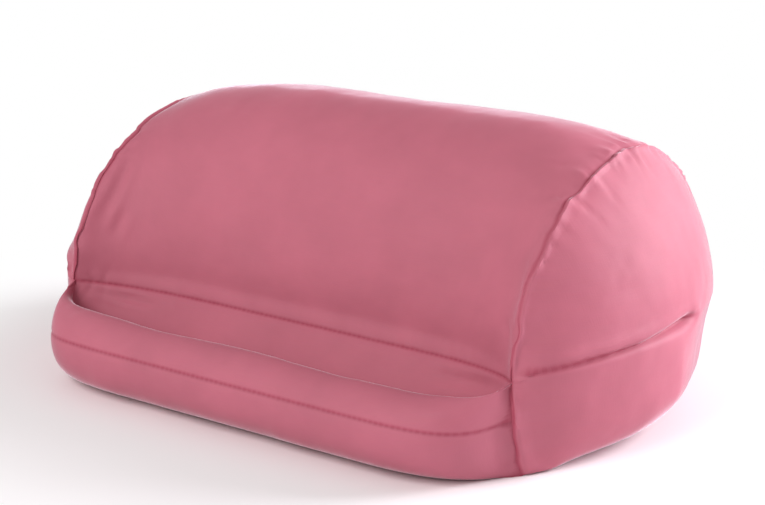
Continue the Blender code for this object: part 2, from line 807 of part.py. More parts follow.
def channel(side):
    """One plate of the slider with its two flanges, widest near the nose."""
    half = SLIDER_LENGTH / 2
    under = TEETH_THICKNESS / 2 + CLEARANCE
    tip = TAPE_THICKNESS / 2 + CLEARANCE
    widths = (
        (-half, SLIDER_TAIL_WIDTH),
        (-half * SLIDER_TAIL_SHARE, SLIDER_TAIL_WIDTH),
        (half * SLIDER_SHOULDER_SHARE, SLIDER_NOSE_WIDTH),
        (half, (SLIDER_NOSE_WIDTH + SLIDER_TAIL_WIDTH) / 2),
    )
    made = bmesh.new()
    rings = []
    for x, width in widths:
        outer, inner = width / 2, width / 2 - SLIDER_FLANGE
        section = [(-outer, tip), (-outer, under + SLIDER_PLATE), (outer, under + SLIDER_PLATE),
                   (outer, tip), (inner, tip), (inner, under), (-inner, under), (-inner, tip)]
        rings.append([made.verts.new((x, side * depth, z)) for z, depth in section])
    for low, high in zip(rings, rings[1:]):
        for k in range(len(low)):
            made.faces.new((low[k - 1], low[k], high[k], high[k - 1]))
    made.faces.new(rings[0])
    made.faces.new(rings[-1][::-1])
    bmesh.ops.recalc_face_normals(made, faces=made.faces[:])
    return made


def join_in(obj, made, name, mat, operation="UNION"):
    """Adds or cuts a shape, given about the object's own origin, with a Boolean."""
    cutter = placed(name, made, mat)
    cutter.parent = obj
    cutter.hide_render = True
    cutter.display_type = "WIRE"
    modifier = obj.modifiers.new(name, "BOOLEAN")
    modifier.operation = operation
    modifier.solver = "EXACT"
    modifier.object = cutter


def hinge_depth():
    """How far the pull's hinge lies outside the tape's middle."""
    return TEETH_THICKNESS / 2 + CLEARANCE + SLIDER_PLATE + BAIL_OPENING / 2


def slider(mat):
    plate_face = TEETH_THICKNESS / 2 + CLEARANCE + SLIDER_PLATE
    obj = placed("zip_slider", channel(1), mat)
    obj.location = (SLIDER_X, tape_middle(), ZIP_Z)
    join_in(obj, channel(-1), "slider_inner_plate", mat)
    nose = SLIDER_LENGTH / 2 - POST_INSET
    middle = nose - POST_LENGTH / 2
    diamond = [(nose - POST_LENGTH, 0), (middle, -POST_WIDTH / 2), (nose, 0), (middle, POST_WIDTH / 2)]
    reach = plate_face - SLIDER_PLATE / 2
    join_in(obj, prism(diamond, -reach, reach, along_y), "slider_post", mat)
    half = BAIL_LENGTH / 2
    top = plate_face + BAIL_OPENING + BAIL_BAR
    under = plate_face + BAIL_OPENING
    root = plate_face - SLIDER_PLATE / 2
    bail = [(-half, root), (-half, top - BAIL_BAR), (BAIL_BAR - half, top), (half - BAIL_BAR, top),
            (half, top - BAIL_BAR), (half, root), (half - BAIL_BAR, root),
            (half - BAIL_BAR, under), (BAIL_BAR - half, under), (BAIL_BAR - half, root)]
    join_in(obj, prism(bail, -BAIL_WIDTH / 2, BAIL_WIDTH / 2, along_z), "slider_bail", mat)


def circle(centre_x, radius, steps):
    turn = 2 * math.pi / steps
    return [(centre_x + radius * math.cos(k * turn), radius * math.sin(k * turn)) for k in range(steps)]


def pull(mat):
    """The pull tab, flat along the zip, with its eye round the slider's bail."""
    bar = PULL_THICKNESS / 2
    tip = bar - PULL_LENGTH
    neck, half = PULL_NECK_WIDTH / 2, PULL_WIDTH / 2
    round_middle = tip + half
    outline = [(bar, -neck), (bar, neck), (round_middle, half)]
    for k in range(1, PULL_ROUND_STEPS):
        angle = math.pi * k / PULL_ROUND_STEPS
        outline.append((round_middle - half * math.sin(angle), half * math.cos(angle)))
    outline.append((round_middle, -half))
    obj = placed("zip_pull", prism(outline, -bar, bar, along_y), mat)
    obj.location = (SLIDER_X, tape_middle() + hinge_depth(), ZIP_Z)
    through = PULL_THICKNESS
    eye = rectangle(-bar - PULL_EYE_LENGTH, -bar, -PULL_EYE_WIDTH / 2, PULL_EYE_WIDTH / 2)
    join_in(obj, prism(eye, -through, through, along_y), "pull_eye", mat, "DIFFERENCE")
    hole = circle(round_middle, PULL_GRIP_HOLE, 2 * PULL_ROUND_STEPS)
    join_in(obj, prism(hole, -through, through, along_y), "pull_grip_hole", mat, "DIFFERENCE")


def build():
    clear_scene()
    mats = {
        "cover": material("pink_satin", PINK, 0.42),
        "lip_cloth": material("pink_satin_lip", PINK_DEEP, 0.45),
        "liner": material("calico", CALICO, 0.9),
        "beads": material("beads", BEAD_WHITE, 0.8),
        "tape": material("zip_tape", ZIP_PINK, 0.8),
        "teeth": material("zip_teeth", ZIP_PINK, 0.4),
        "metal": material("zip_metal", ZIP_METAL, 0.3, 1.0),
    }
    cover_panels(cover_surface(), mats)
    divider(mats["cover"])
    bag("log", log_surface(), mats)
    bag("lip", lip_surface(), mats)
    for name, side in (("upper", 1), ("lower", -1)):
        tape("zip_tape_" + name, side, mats["tape"])
        teeth("zip_teeth_" + name, side, mats["teeth"])
    stops(mats["metal"])
    slider(mats["metal"])
    pull(mats["metal"])


build()
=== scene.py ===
"""Looks of the beanbag tablet stand.

Satin panels with puckered seams over two bead-filled cotton bags, a zip at the back, lamps and a camera.
"""

import math

import bmesh
import bpy
import numpy as np
from mathutils import Matrix, Vector, kdtree
from mathutils.bvhtree import BVHTree


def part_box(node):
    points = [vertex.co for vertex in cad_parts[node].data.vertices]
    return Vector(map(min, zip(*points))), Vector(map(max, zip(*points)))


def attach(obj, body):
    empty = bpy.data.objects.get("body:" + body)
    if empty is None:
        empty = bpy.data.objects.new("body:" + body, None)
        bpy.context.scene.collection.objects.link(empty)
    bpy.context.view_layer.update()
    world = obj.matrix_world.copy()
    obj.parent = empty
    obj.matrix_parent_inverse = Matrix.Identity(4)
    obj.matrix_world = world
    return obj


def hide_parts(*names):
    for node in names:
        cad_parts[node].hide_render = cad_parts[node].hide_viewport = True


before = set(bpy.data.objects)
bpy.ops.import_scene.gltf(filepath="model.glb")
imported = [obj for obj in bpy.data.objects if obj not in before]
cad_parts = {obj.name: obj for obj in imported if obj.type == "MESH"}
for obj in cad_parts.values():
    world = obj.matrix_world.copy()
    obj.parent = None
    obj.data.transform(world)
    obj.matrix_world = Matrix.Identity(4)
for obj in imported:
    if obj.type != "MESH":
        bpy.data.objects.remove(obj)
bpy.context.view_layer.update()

# Sizes that the solids have too, in metres
SEAM_X = 0.150
END_BULGE = 0.042
LOG_AXIS_Z = 0.054
CROWN_SEAM = np.array((0.030, 0.149))
CROWN_MIDDLE = np.array((0.020, 0.160))
LEFT_SAG = 0.006
REST_MIDDLE_Y = -0.050
BACK_SEAM_Y = 0.122
BACK_MIDDLE_Y = 0.126
CREASE = np.array((-0.055, 0.046))
CORNER = np.array((-0.079, 0.0505))
CORNER_FOOT_Y = -0.0695
CORNER_BOW = 0.003
LIP_FRONT_Y = -0.126
LIP_FOOT_Y = -0.098
LIP_WIDEST_Z = 0.022
LIP_TOP = np.array((-0.1065, 0.0445))
LIP_RISE_POWER = 0.8
FRONT_SEAM_Z = 0.0315
FRONT_SEAM_END_Z = 0.0250
TROUGH_FRONT_Y = -0.091
TROUGH_REAR_Y = -0.079
TROUGH_Z = 0.0125
WALL_BOW = 0.002
ZIP_Y = 0.121
ZIP_Z = 0.027
ZIP_SLOT = 0.012
FOOT_RADIUS = 0.015
END_CREASE_RISE = 0.0085
SAG_POWER, DISH_POWER, LIP_POWER, TROUGH_POWER = 5.0, 6.0, 8.0, 14.0
FRONT_SEAM_POWER = 8.0
REST_SEAM_POWER, REST_MIDDLE_POWER = 1.85, 1.7

ZIP_OPEN = (-0.1446, 0.1452)  # past these the slot over the zip is sewn shut

# The ends' swelling
END_MIDDLE_Y = (CORNER[0] + BACK_SEAM_Y) / 2
UPPER_END_POWER, SPINE_END_POWER = 1.8, 1.1
SPINE_TO_UPPER = 0.7  # the share of the upper half over which the spine's power gives way to the upper one
BAND_TURN = 0.60  # the share of the lower half over which the spine's swelling gives way to the band's
EDGE_RADII = (0.100, 0.027, 0.042)  # how far the lower half takes to round off to the front, floor and back
EDGE_ROOTS = (0.55, 0.50, 0.50)  # 0.5 leaves an edge at a right angle, 1 at a slant
UPPER_REAR_POWER, LOWER_REAR_POWER, REAR_ROOT = 1.8, 1.2, 0.75
FOOT_SPREAD, FOOT_HEIGHT = 0.0055, 0.013  # how far an end's foot spreads on the floor, and how high up
FOOT_FROM_Y, FOOT_TO_Y, FOOT_FROM_SEAM = (-0.079, -0.055), (-0.010, 0.040), (0, 0.006)

# The fold along an end's spine, placed by y and by the rise over the spine. A pair of lengths is where a
# change begins and ends, and the depths of its cut, bank and dimple are shares of the swelling.
FOLD_FROM_Y, FOLD_TO_Y = (-0.081, -0.071), (0.030, 0.046)
CUT_DEPTH, CUT_WIDTH = 0.050, 0.0018
BANK_DEPTH, BANK_LENGTH, BANK_TURN = 0.045, 0.0080, (-0.0014, 0.0014)
DIMPLE_DEPTH, DIMPLE_FROM_Y, DIMPLE_RISE, DIMPLE_WIDTH = 0.070, (-0.020, 0.030), 0.0015, 0.0045
BROW_OUT, BROW_TO_Y, BROW_RISE, BROW_WIDTH = 0.0016, (0.034, 0.050), 0.0050, 0.0035
# Painted shade along the end's fold: where along y it runs, and how fast it fades with the rise from the
# fold's line
FOLD_SHADE_FROM_Y, FOLD_SHADE_TO_Y = (-0.082, -0.075), (0.036, 0.047)
FOLD_SHADE_RISE, FOLD_SHADE_PAST_FOLD = 0.0006, 0.004
FOLD_SHADE_UNDER, FOLD_SHADE_OVER, FOLD_SHADE_OVER_Y = 0.80, (0.46, 0.28), (-0.030, 0.030)  # less makes the colour wider

# Divisions
STATIONS = 85  # on each side of the middle
STATION_CROWDING = 0.28  # over 0, stations crowd at the ends
END_COLUMNS = 150
END_ROWS = 34
ROW_CROWDING = 1.5  # over 1, rows crowd at the spine
OUTER_ROW = 0.985  # under 1, the outermost row stays clear of the outline
END_BLUR, ROW_BLUR = 3.5, 1.2  # in columns and rows of an end
SMOOTHING = 0.0024  # how softly the outline turns its corners

# Cloth and filling
CLOTH = 0.0007
FLOOR_LIFT = 0.3  # share of the cloth by which a panel's back clears the floor beside its edge
FILL_DEPTH, LINER_DEPTH = 0.0060, 0.0034  # of the beads and the liner behind the cover's face
FILL_FLOOR_Z = 0.0030
LINER_OUT, LINER_FOLD = 0.0013, 0.0007  # from the beads to the liner's face, and how far its folds stand out
PATCH_OUT, PATCH_LAP, PATCH_SLACK = 0.0022, 0.008, 0.004
BEAD_BUMP, BEAD_PITCH = 0.0005, 0.0036
DIVIDER_WAVE, DIVIDER_PITCHES = 0.0003, (0.014, 0.050)
UNEVEN = ((0.0010, 0.055), (0.00035, 0.021), (0.00012, 0.0075))  # heights and pitches over the filling
CRUMPLE_PITCHES = (0.026, 0.011)
SEED = 7

# Seams
SEAM_STEP = 0.0006
LEAN_RUN, STRENGTH_RUN = 0.034, 0.045  # how far along a seam the puckers' lean and strength change
PUCKER_SPAN, PUCKER_START, SHORTEST_PUCKER = 0.030, 0.0011, 0.002  # across a seam
RIDGE, RIDGE_GAP = 0.35, 1.9  # beside a wrinkle: share of its depth, and how many half widths away
END_GATHERS, HIGH_GATHERS, GATHER_RISE_Z = 0.55, 0.75, (0.070, 0.140)  # an end's gathers, and more high up
RIM_GAP, RIM_WIDTH = 0.0018, 0.0013
RIM_OUT, RIM_IN = 0.0013, -0.0003  # on the end's side of a seam and on the other
SWAY, SWAY_PITCH, SWAY_REACH = 0.0016, 0.0085, 0.0040
UPRIGHT_TO_Z, UPRIGHT_SWAY_Z = (0.034, 0.048), (0.040, 0.060)
UPRIGHT_SHALLOWER, UPRIGHT_SWAY = 0.6, 0.45
CORNER_FILL, CORNER_FILL_REACH = 0.0058, 0.0072  # how far the upright corner seams stand out of their groove
CORNER_CALM, CORNER_LEFT = (0.001, 0.012), 0.15  # what is left of all relief right at a corner
FLOOR_CALM = (0.0005, 0.010)
# How strongly the satin is darkened next to a seam, and over what gap: painted shade in the seams
SEAM_PAINTED_SHADE, SEAM_PAINTED_SHADE_REACH = 0.75, 0.0020
STITCH, STITCH_WIDTH = 0.0032, 0.0007
TOPSTITCH_ZS, TOPSTITCH_FROM_Y = (0.0362, 0.0178), ZIP_Y - 0.004

# Colours
# Each satin's second colour is painted shade, mixed in along the seams and the end's fold
SATIN, SATIN_PAINTED_SHADE = (0.505, 0.135, 0.190), (0.33, 0.040, 0.076)
LIP_SATIN, LIP_SATIN_PAINTED_SHADE = (0.49, 0.132, 0.186), (0.30, 0.040, 0.074)
SHEEN_TINT = (1.0, 0.90, 0.98, 1.0)
THREAD = (0.34, 0.050, 0.090)
COTTON = (0.78, 0.73, 0.64)

# The lamps and the photograph's camera
LAMP_TARGET = Vector((0, 0, 0.06))
PHOTO_WIDTH, FOCAL_LENGTH = 765, 1824.88  # in pixels
CAMERA_PLACE = (0.5957, -0.8004, 0.3530)
CAMERA_RIGHT = (0.809, 0.5875, 0.0003)
CAMERA_UP = (-0.158, 0.2179, 0.9628)
CAMERA_BACK = (0.566, -0.7797, 0.2693)


def mix(a, b, t):
    return a + (b - a) * t


def fullness(x, power):
    return 1.0 - min(1.0, abs(x) / SEAM_X) ** power


def smooth(low, high, value):
    t = np.clip((value - low) / (high - low), 0, 1)
    return t * t * (3 - 2 * t)


def bell(gap, width):
    return np.exp(-((gap / width) ** 2))


# Noise on numpy arrays, the same on each run


def lattice(ix, iy, iz, seed):
    mask = np.uint64(0xFFFFFFFF)
    n = (ix.astype(np.int64) * 374761393 + iy.astype(np.int64) * 668265263
         + iz.astype(np.int64) * 1440662683 + seed * 1274126177).astype(np.uint64) & mask
    n = ((n ^ (n >> np.uint64(13))) * np.uint64(1274126177)) & mask
    n = ((n ^ (n >> np.uint64(16))) * np.uint64(2246822519)) & mask
    return (n ^ (n >> np.uint64(15))).astype(np.float64) / 0xFFFFFFFF * 2 - 1


def noise(points, seed=0):
    """Smooth noise from about -1 to 1, at points of 1 to 3 coordinates."""
    points = np.asarray(points, float)
    if points.shape[-1] < 3:
        points = np.concatenate([points, np.zeros((*points.shape[:-1], 3 - points.shape[-1]))], axis=-1)
    cell = np.floor(points)
    part = points - cell
    part = part * part * part * (part * (part * 6 - 15) + 10)
    total = 0.0
    for dx in (0, 1):
        for dy in (0, 1):
            for dz in (0, 1):
                weight = (np.abs(1 - dx - part[..., 0]) * np.abs(1 - dy - part[..., 1])
                          * np.abs(1 - dz - part[..., 2]))
                value = lattice(cell[..., 0] + dx, cell[..., 1] + dy, cell[..., 2] + dz, seed)
                total = total + weight * value
    return total


# The outline of a slice: parts in order round the stand, each with its panel and number of steps

PARTS = (
    ("lip_front", 16), ("lip_front", 4), ("trough", 14), ("trough", 20), ("trough", 6), ("trough", 18),
    ("log", 5), ("log", 64), ("log", 56), ("log", 12), ("slot", 6), ("back", 5), ("back", 12), ("base", 60),
)
(LIP_LOW, LIP_HIGH, LIP_OVER, TROUGH_DOWN, TROUGH_FLOOR, TROUGH_UP,
 REST_FOOT, REST, CROWN, BACK, SLOT, STRIP, HEEL, BASE) = range(len(PARTS))
STEPS = [count for _, count in PARTS]
STARTS = np.concatenate([[0], np.cumsum(STEPS)])
PANEL_OF_STEP = [name for name, count in PARTS for _ in range(count)]
UNSOFTENED = np.array([name in ("slot", "back", "base") for name in PANEL_OF_STEP])


def lip(angle_low=None, angle_high=None):
    if angle_low is not None:
        return np.stack([mix(LIP_FOOT_Y, LIP_FRONT_Y, np.sin(angle_low)),
                         LIP_WIDEST_Z * (1 - np.cos(angle_low))], axis=-1)
    return np.stack([mix(LIP_TOP[0], LIP_FRONT_Y, np.cos(angle_high)),
                     mix(LIP_WIDEST_Z, LIP_TOP[1], np.sin(angle_high))], axis=-1)


def lip_at(x, points):
    """Points of the lip's middle section, as they are at x."""
    rise = np.clip(points[:, 1] / LIP_TOP[1], 0, 1) ** LIP_RISE_POWER
    y = mix(CORNER_FOOT_Y, CORNER[0], rise) - CORNER_BOW * np.sin(math.pi * rise)
    end = np.stack([y, CORNER[1] * rise], axis=-1)
    return mix(end, points, math.sqrt(fullness(x, LIP_POWER)))


def straight(a, b, part):
    return mix(np.asarray(a), np.asarray(b), np.linspace(0, 1, STEPS[part] + 1)[:, None])


def quarter(part):
    """The angles of a quarter turn, in the part's steps."""
    return np.linspace(0, math.pi / 2, STEPS[part] + 1)


def front_parts(x):
    """The outline at x from the lip's foot over the lip and through the trough to the crease."""
    seam_z = mix(FRONT_SEAM_END_Z, FRONT_SEAM_Z, fullness(x, FRONT_SEAM_POWER))
    seam = math.asin((seam_z - LIP_WIDEST_Z) / (LIP_TOP[1] - LIP_WIDEST_Z))
    parts = [lip_at(x, lip(angle_low=quarter(LIP_LOW))),
             lip_at(x, lip(angle_high=np.linspace(0, seam, STEPS[LIP_HIGH] + 1))),
             lip_at(x, lip(angle_high=np.linspace(seam, math.pi / 2, STEPS[LIP_OVER] + 1)))]
    top = parts[-1][-1]
    share = fullness(x, TROUGH_POWER)
    front, rear = [mix(CORNER, np.array((y, TROUGH_Z)), share) for y in (TROUGH_FRONT_Y, TROUGH_REAR_Y)]
    a = quarter(TROUGH_DOWN)
    parts.append(np.stack([mix(top[0], front[0], np.sin(a)), mix(front[1], top[1], np.cos(a))], axis=-1))
    parts.append(straight(front, rear, TROUGH_FLOOR))
    crease = mix(CORNER, CREASE, fullness(x, DISH_POWER))
    wall = straight(rear, crease, TROUGH_UP)
    wall[:, 0] -= WALL_BOW * share * np.sin(math.pi * np.linspace(0, 1, len(wall)))
    return [*parts, wall]


def rear_parts(x, crease, lip_foot):
    """The outline at x from the crease over the crown, down the back and on the floor to the lip's foot."""
    dish, sag = fullness(x, DISH_POWER), fullness(x, SAG_POWER)
    crown = mix(CROWN_SEAM, CROWN_MIDDLE, sag) - np.array((0, LEFT_SAG * max(0.0, -x / SEAM_X) ** 2))
    foot = np.array((mix(CORNER[0], REST_MIDDLE_Y, dish), LOG_AXIS_Z))
    power = 2 / mix(REST_SEAM_POWER, REST_MIDDLE_POWER, dish)
    a = quarter(REST)
    y = crown[0] - (crown[0] - foot[0]) * np.maximum(0, np.cos(a)) ** power
    rest = np.stack([y, mix(LOG_AXIS_Z, crown[1], np.sin(a) ** power)], axis=-1)
    widest = np.array((mix(BACK_SEAM_Y, BACK_MIDDLE_Y, sag), LOG_AXIS_Z))
    a = quarter(CROWN)
    over = np.stack([mix(crown[0], widest[0], np.sin(a)), mix(LOG_AXIS_Z, crown[1], np.cos(a))], axis=-1)
    zip_top, zip_bottom = ZIP_Z + ZIP_SLOT / 2, ZIP_Z - ZIP_SLOT / 2
    t = np.linspace(0, 1, STEPS[BACK] + 1)
    back = np.stack([mix(widest[0], ZIP_Y, smooth(0, 1, t)), mix(LOG_AXIS_Z, zip_top, t)], axis=-1)
    a = quarter(HEEL)
    heel = np.stack([ZIP_Y - FOOT_RADIUS * (1 - np.cos(a)), FOOT_RADIUS * (1 - np.sin(a))], axis=-1)
    return [straight(crease, foot, REST_FOOT), rest, over, back,
            straight((ZIP_Y, zip_top), (ZIP_Y, zip_bottom), SLOT),
            straight((ZIP_Y, zip_bottom), (ZIP_Y, FOOT_RADIUS), STRIP),
            heel, straight(heel[-1], lip_foot, BASE)]


def slice_at(x):
    """The closed outline at x with its corners softened, as points (y, z) and the length along it."""
    front = front_parts(x)
    parts = front + rear_parts(x, front[-1][-1], front[0][0])
    points = np.concatenate([part[:-1] for part in parts])
    step = np.linalg.norm(np.roll(points, -1, axis=0) - points, axis=1)
    along = np.concatenate([[0], np.cumsum(step)[:-1]])
    gap = np.abs(along[:, None] - along[None, :])
    gap = np.minimum(gap, step.sum() - gap)
    weight = np.exp(-(gap ** 2) / (2 * SMOOTHING ** 2)) * ((step + np.roll(step, 1)) / 2)[None, :]
    soft = weight @ points / weight.sum(axis=1)[:, None]
    keep = (points[:, 1] < 1e-6) | UNSOFTENED
    soft[keep] = points[keep]
    return soft, along


class Form:
    """The whole skin as one closed mesh. A face knows its panel, and a point its place on the cloth."""

    def __init__(self):
        self.points = []
        self.cloth = []
        self.faces = []
        self.panels = []
        self.folds = {}

    def add(self, point, cloth):
        self.points.append(point)
        self.cloth.append(cloth)
        return len(self.points) - 1

    def face(self, corners, panel):
        kept = [c for k, c in enumerate(corners) if c != corners[k - 1]]
        if len(set(kept)) == len(kept) >= 3:
            self.faces.append(kept)
            self.panels.append(panel)


def body_grid(form):
    """The slices, joined along X. Where the trough closes up, all its points are the corner."""
    t = np.linspace(-1, 1, 2 * STATIONS + 1)
    xs = SEAM_X * mix(t, np.sin(math.pi / 2 * t), STATION_CROWDING)
    closed = range(STARTS[TROUGH_DOWN], STARTS[REST_FOOT] + 1)
    rows = []
    for k, x in enumerate(xs):
        points, along = slice_at(x)
        row = []
        corner = None
        for j, (y, z) in enumerate(points):
            if k in (0, len(xs) - 1) and j in closed:
                if corner is None:
                    corner = form.add((x, *CORNER), (x, along[j]))
                row.append(corner)
            else:
                row.append(form.add((x, y, max(0.0, z)), (x, along[j])))
        rows.append(row)
    count = len(rows[0])
    for k, (low, high) in enumerate(zip(rows, rows[1:])):
        sewn_shut = xs[k] < ZIP_OPEN[0] or xs[k + 1] > ZIP_OPEN[1]
        for j in range(count):
            panel = "back" if sewn_shut and PANEL_OF_STEP[j] == "slot" else PANEL_OF_STEP[j]
            form.face([low[j], high[j], high[(j + 1) % count], low[(j + 1) % count]], panel)
    return rows


def gap_to(outline, points):
    """How far each point is from the nearest edge of an outline."""
    best = np.full(points.shape[:-1], 1.0)
    for a, b in zip(outline, outline[1:]):
        along = b - a
        share = np.clip((points - a) @ along / (along @ along), 0, 1)[..., None]
        best = np.minimum(best, np.linalg.norm(points - a - along * share, axis=-1))
    return best


def rear_fall(y, power):
    """The share of an end's swelling that is left at y on the way to the back."""
    return (1 - np.clip((y - END_MIDDLE_Y) / (BACK_SEAM_Y - END_MIDDLE_Y), 0, 1) ** power) ** REAR_ROOT


def end_swell(flat, angle, across, edges):
    """How far an end stands out, from 0 to 1, at each point of its rows."""
    y = flat[:, :, 0]
    power = mix(SPINE_END_POWER, UPPER_END_POWER, smooth(0, SPINE_TO_UPPER, across))
    turned = np.where(across < 0, (y - END_MIDDLE_Y) / (BACK_SEAM_Y - END_MIDDLE_Y), -np.cos(angle))
    along = (1 - np.clip(turned, -1, 0) ** 2) ** (power / 2) * rear_fall(y, UPPER_REAR_POWER)
    band = rear_fall(y, LOWER_REAR_POWER)
    for edge, radius, root in zip(edges, EDGE_RADII, EDGE_ROOTS):
        inset = np.minimum(1, gap_to(edge, flat) / radius)
        band = band * (1 - (1 - inset) ** 2) ** root
    band = mix(band, along, np.maximum(0, 1 + across / BAND_TURN) ** 2)
    return np.where(across < 0, band, along * (1 - np.minimum(1, across ** 2)) ** (UPPER_END_POWER / 2))


def blurred(values, spread):
    """Each row softened along itself, falling to 0 past both of its ends."""
    reach = int(3 * spread)
    kernel = np.exp(-(np.arange(-reach, reach + 1) ** 2) / (2 * spread ** 2))
    kernel /= kernel.sum()
    wide = np.concatenate([-values[:, reach - 1::-1], values, -values[:, :-reach - 1:-1]], axis=1)
    return np.array([np.convolve(row, kernel, mode="valid") for row in wide])


def fold_depth(y, rise):
    """Share of the swelling that the fold takes away: a thin cut that opens to a dimple at its far end."""
    here = smooth(*FOLD_FROM_Y, y) * (1 - smooth(*FOLD_TO_Y, y))
    cut = CUT_DEPTH * bell(rise, CUT_WIDTH)
    bank = BANK_DEPTH * np.exp(-np.maximum(0, rise) / BANK_LENGTH) * smooth(*BANK_TURN, rise)
    dimple = DIMPLE_DEPTH * smooth(*DIMPLE_FROM_Y, y) * bell(rise - DIMPLE_RISE, DIMPLE_WIDTH)
    return here * (cut + bank + dimple)


def fold_shade_gap(y, rise):
    """The gap to a seam that a point beside the fold takes, so that the fold gets the seams' painted shade.
    """
    whole = smooth(*FOLD_SHADE_FROM_Y, y) * (1 - smooth(*FOLD_SHADE_TO_Y, y))
    over = mix(*FOLD_SHADE_OVER, smooth(*FOLD_SHADE_OVER_Y, y))
    return np.abs(rise - FOLD_SHADE_RISE) * np.where(rise > 0, over, FOLD_SHADE_UNDER) + FOLD_SHADE_PAST_FOLD * (1 - whole)


def places_of(parts, marks):
    """For the outline's points over some parts, their places. Each part runs from one mark to the next."""
    out = []
    for part, low, high in zip(parts, marks, marks[1:]):
        out += [mix(low, high, k / STEPS[part]) for k in range(STEPS[part])]
    return [*out, marks[-1]]


UPPER_PLACES = places_of((REST_FOOT, REST, CROWN), (0, 1, 11, 19))
LOWER_PLACES = places_of((LIP_OVER, LIP_HIGH, LIP_LOW, BASE, HEEL, STRIP, SLOT, BACK),
                         (0, 3, 4, 7, 13, 15, 16, 17, 19))
PLACES = np.linspace(0.45, 18.7, END_COLUMNS)  # of an end's columns, clear of both ends of the spine


def end_grid(upper_line, lower_line):
    """An end's rows from the lower outline over the spine to the upper one: X, (y, z) and the seam gap."""
    upper, lower = [np.stack([np.interp(PLACES, places, line[:, a]) for a in (0, 1)], axis=1)
                    for places, line in ((UPPER_PLACES, upper_line), (LOWER_PLACES, lower_line))]
    angle = math.pi * PLACES / UPPER_PLACES[-1]
    spine = mix(upper_line[0], upper_line[-1], ((1 - np.cos(angle)) / 2)[:, None])
    spine[:, 1] += END_CREASE_RISE * np.sqrt(np.sin(angle))
    steps = np.sin(np.linspace(0, 1, END_ROWS + 1)[:-1] ** ROW_CROWDING * math.pi / 2 * OUTER_ROW)
    shares = [*-steps[:0:-1], *steps]
    across = np.array(shares)[:, None]
    flat = np.array([mix(spine, upper if share > 0 else lower, abs(share)) for share in shares])
    foot, heel = STARTS[TROUGH_DOWN], STARTS[TROUGH_DOWN] + STEPS[BASE]
    edges = (lower_line[:foot + 1], lower_line[foot:heel + 1], lower_line[heel:])
    sharp = end_swell(flat, angle, across, edges)
    swell = mix(sharp, blurred(sharp, END_BLUR), smooth(-0.1, 0.1, across))
    swell = blurred(swell.T, ROW_BLUR).T
    rise = np.linalg.norm(flat - spine[None], axis=2) * np.where(across >= 0, 1, -1)
    y = flat[:, :, 0]
    x = SEAM_X + END_BULGE * swell * (1 - fold_depth(y, rise))
    brow = (rise >= 0) * (1 - smooth(*BROW_TO_Y, y)) * smooth(0, 0.3, swell)
    x = x + BROW_OUT * brow * bell(rise - BROW_RISE, BROW_WIDTH)
    return x, flat, fold_shade_gap(y, rise)


def end_panel(form, row, side, panel):
    """An end over one closed outline: rows of points about its spine, and strips that join them to it."""
    upper_ids = [row[j] for j in range(STARTS[REST_FOOT], STARTS[BACK] + 1)]
    lower_ids = [row[j] for j in (*range(STARTS[TROUGH_DOWN], -1, -1),
                                  *range(len(row) - 1, STARTS[BACK] - 1, -1))]
    lines = [np.array([form.points[i][1:] for i in ids]) for ids in (upper_ids, lower_ids)]
    rows = []
    for xs, line, gaps in zip(*end_grid(*lines)):
        rows.append([form.add((side * a, b[0], max(0.0, b[1])), tuple(b)) for a, b in zip(xs, line)])
        form.folds.update(zip(rows[-1], gaps))

    def put(corners):
        form.face(corners if side > 0 else corners[::-1], panel)

    for low, high in zip(rows, rows[1:]):
        for k in range(END_COLUMNS - 1):
            put([low[k], low[k + 1], high[k + 1], high[k]])
        put([upper_ids[0], low[0], high[0]])
        put([upper_ids[-1], high[-1], low[-1]])
    for ids, places, line, turned in ((upper_ids, UPPER_PLACES, rows[-1], False),
                                      (lower_ids, LOWER_PLACES, rows[0], True)):
        i, k = 0, 0
        while i < len(ids) - 1 or k < END_COLUMNS - 1:
            near = k < END_COLUMNS - 1 and (i >= len(ids) - 1 or PLACES[k + 1] < places[i + 1])
            corners = [line[k], line[k + 1], ids[i]] if near else [line[k], ids[i + 1], ids[i]]
            put(corners[::-1] if turned else corners)
            k, i = (k + 1, i) if near else (k, i + 1)


def face_normals(points, faces):
    """The normal of each face times its area, from its diagonals or edges."""
    a, b, c, d = [np.array([points[f[k]] for f in faces]) for k in (0, 1, 2, -1)]
    quad = np.array([len(f) == 4 for f in faces])[:, None]
    return np.where(quad, np.cross(c - a, d - b), np.cross(b - a, c - a)) / 2


def point_normals(points, faces):
    flat = face_normals(points, faces)
    total = np.zeros_like(points)
    for corner in range(4):
        ids = np.array([f[min(corner, len(f) - 1)] for f in faces])
        use = np.array([corner < len(f) for f in faces])
        np.add.at(total, ids[use], flat[use])
    length = np.linalg.norm(total, axis=1, keepdims=True)
    return total / np.maximum(length, 1e-12)


def seam_places(form, rows):
    """Each seam as points along it, with the length run so far."""
    points = np.array(form.points)
    marks = {"lip": STARTS[LIP_OVER], "crease": STARTS[REST_FOOT], "zip_top": STARTS[SLOT],
             "zip_bottom": STARTS[STRIP], "base_back": STARTS[BASE], "base_front": 0}
    seams = {name: points[[row[j] for row in rows]] for name, j in marks.items()}
    seams["right"] = points[rows[-1] + rows[-1][:1]]
    seams["left"] = points[rows[0] + rows[0][:1]]
    found = {}
    for name, line in seams.items():
        step = np.linalg.norm(np.diff(line, axis=0), axis=1)
        run = np.concatenate([[0], np.cumsum(step)])
        fine = np.arange(0, run[-1], SEAM_STEP)
        found[name] = (np.stack([np.interp(fine, run, line[:, a]) for a in range(3)], axis=1), fine)
    return found


def nearest(line, run, points):
    """For each point, how far the line is, and how far along it."""
    tree = kdtree.KDTree(len(line))
    for k, place in enumerate(line):
        tree.insert(place, k)
    tree.balance()
    hits = [tree.find(p) for p in points]
    return np.array([h[2] for h in hits]), run[[h[1] for h in hits]]


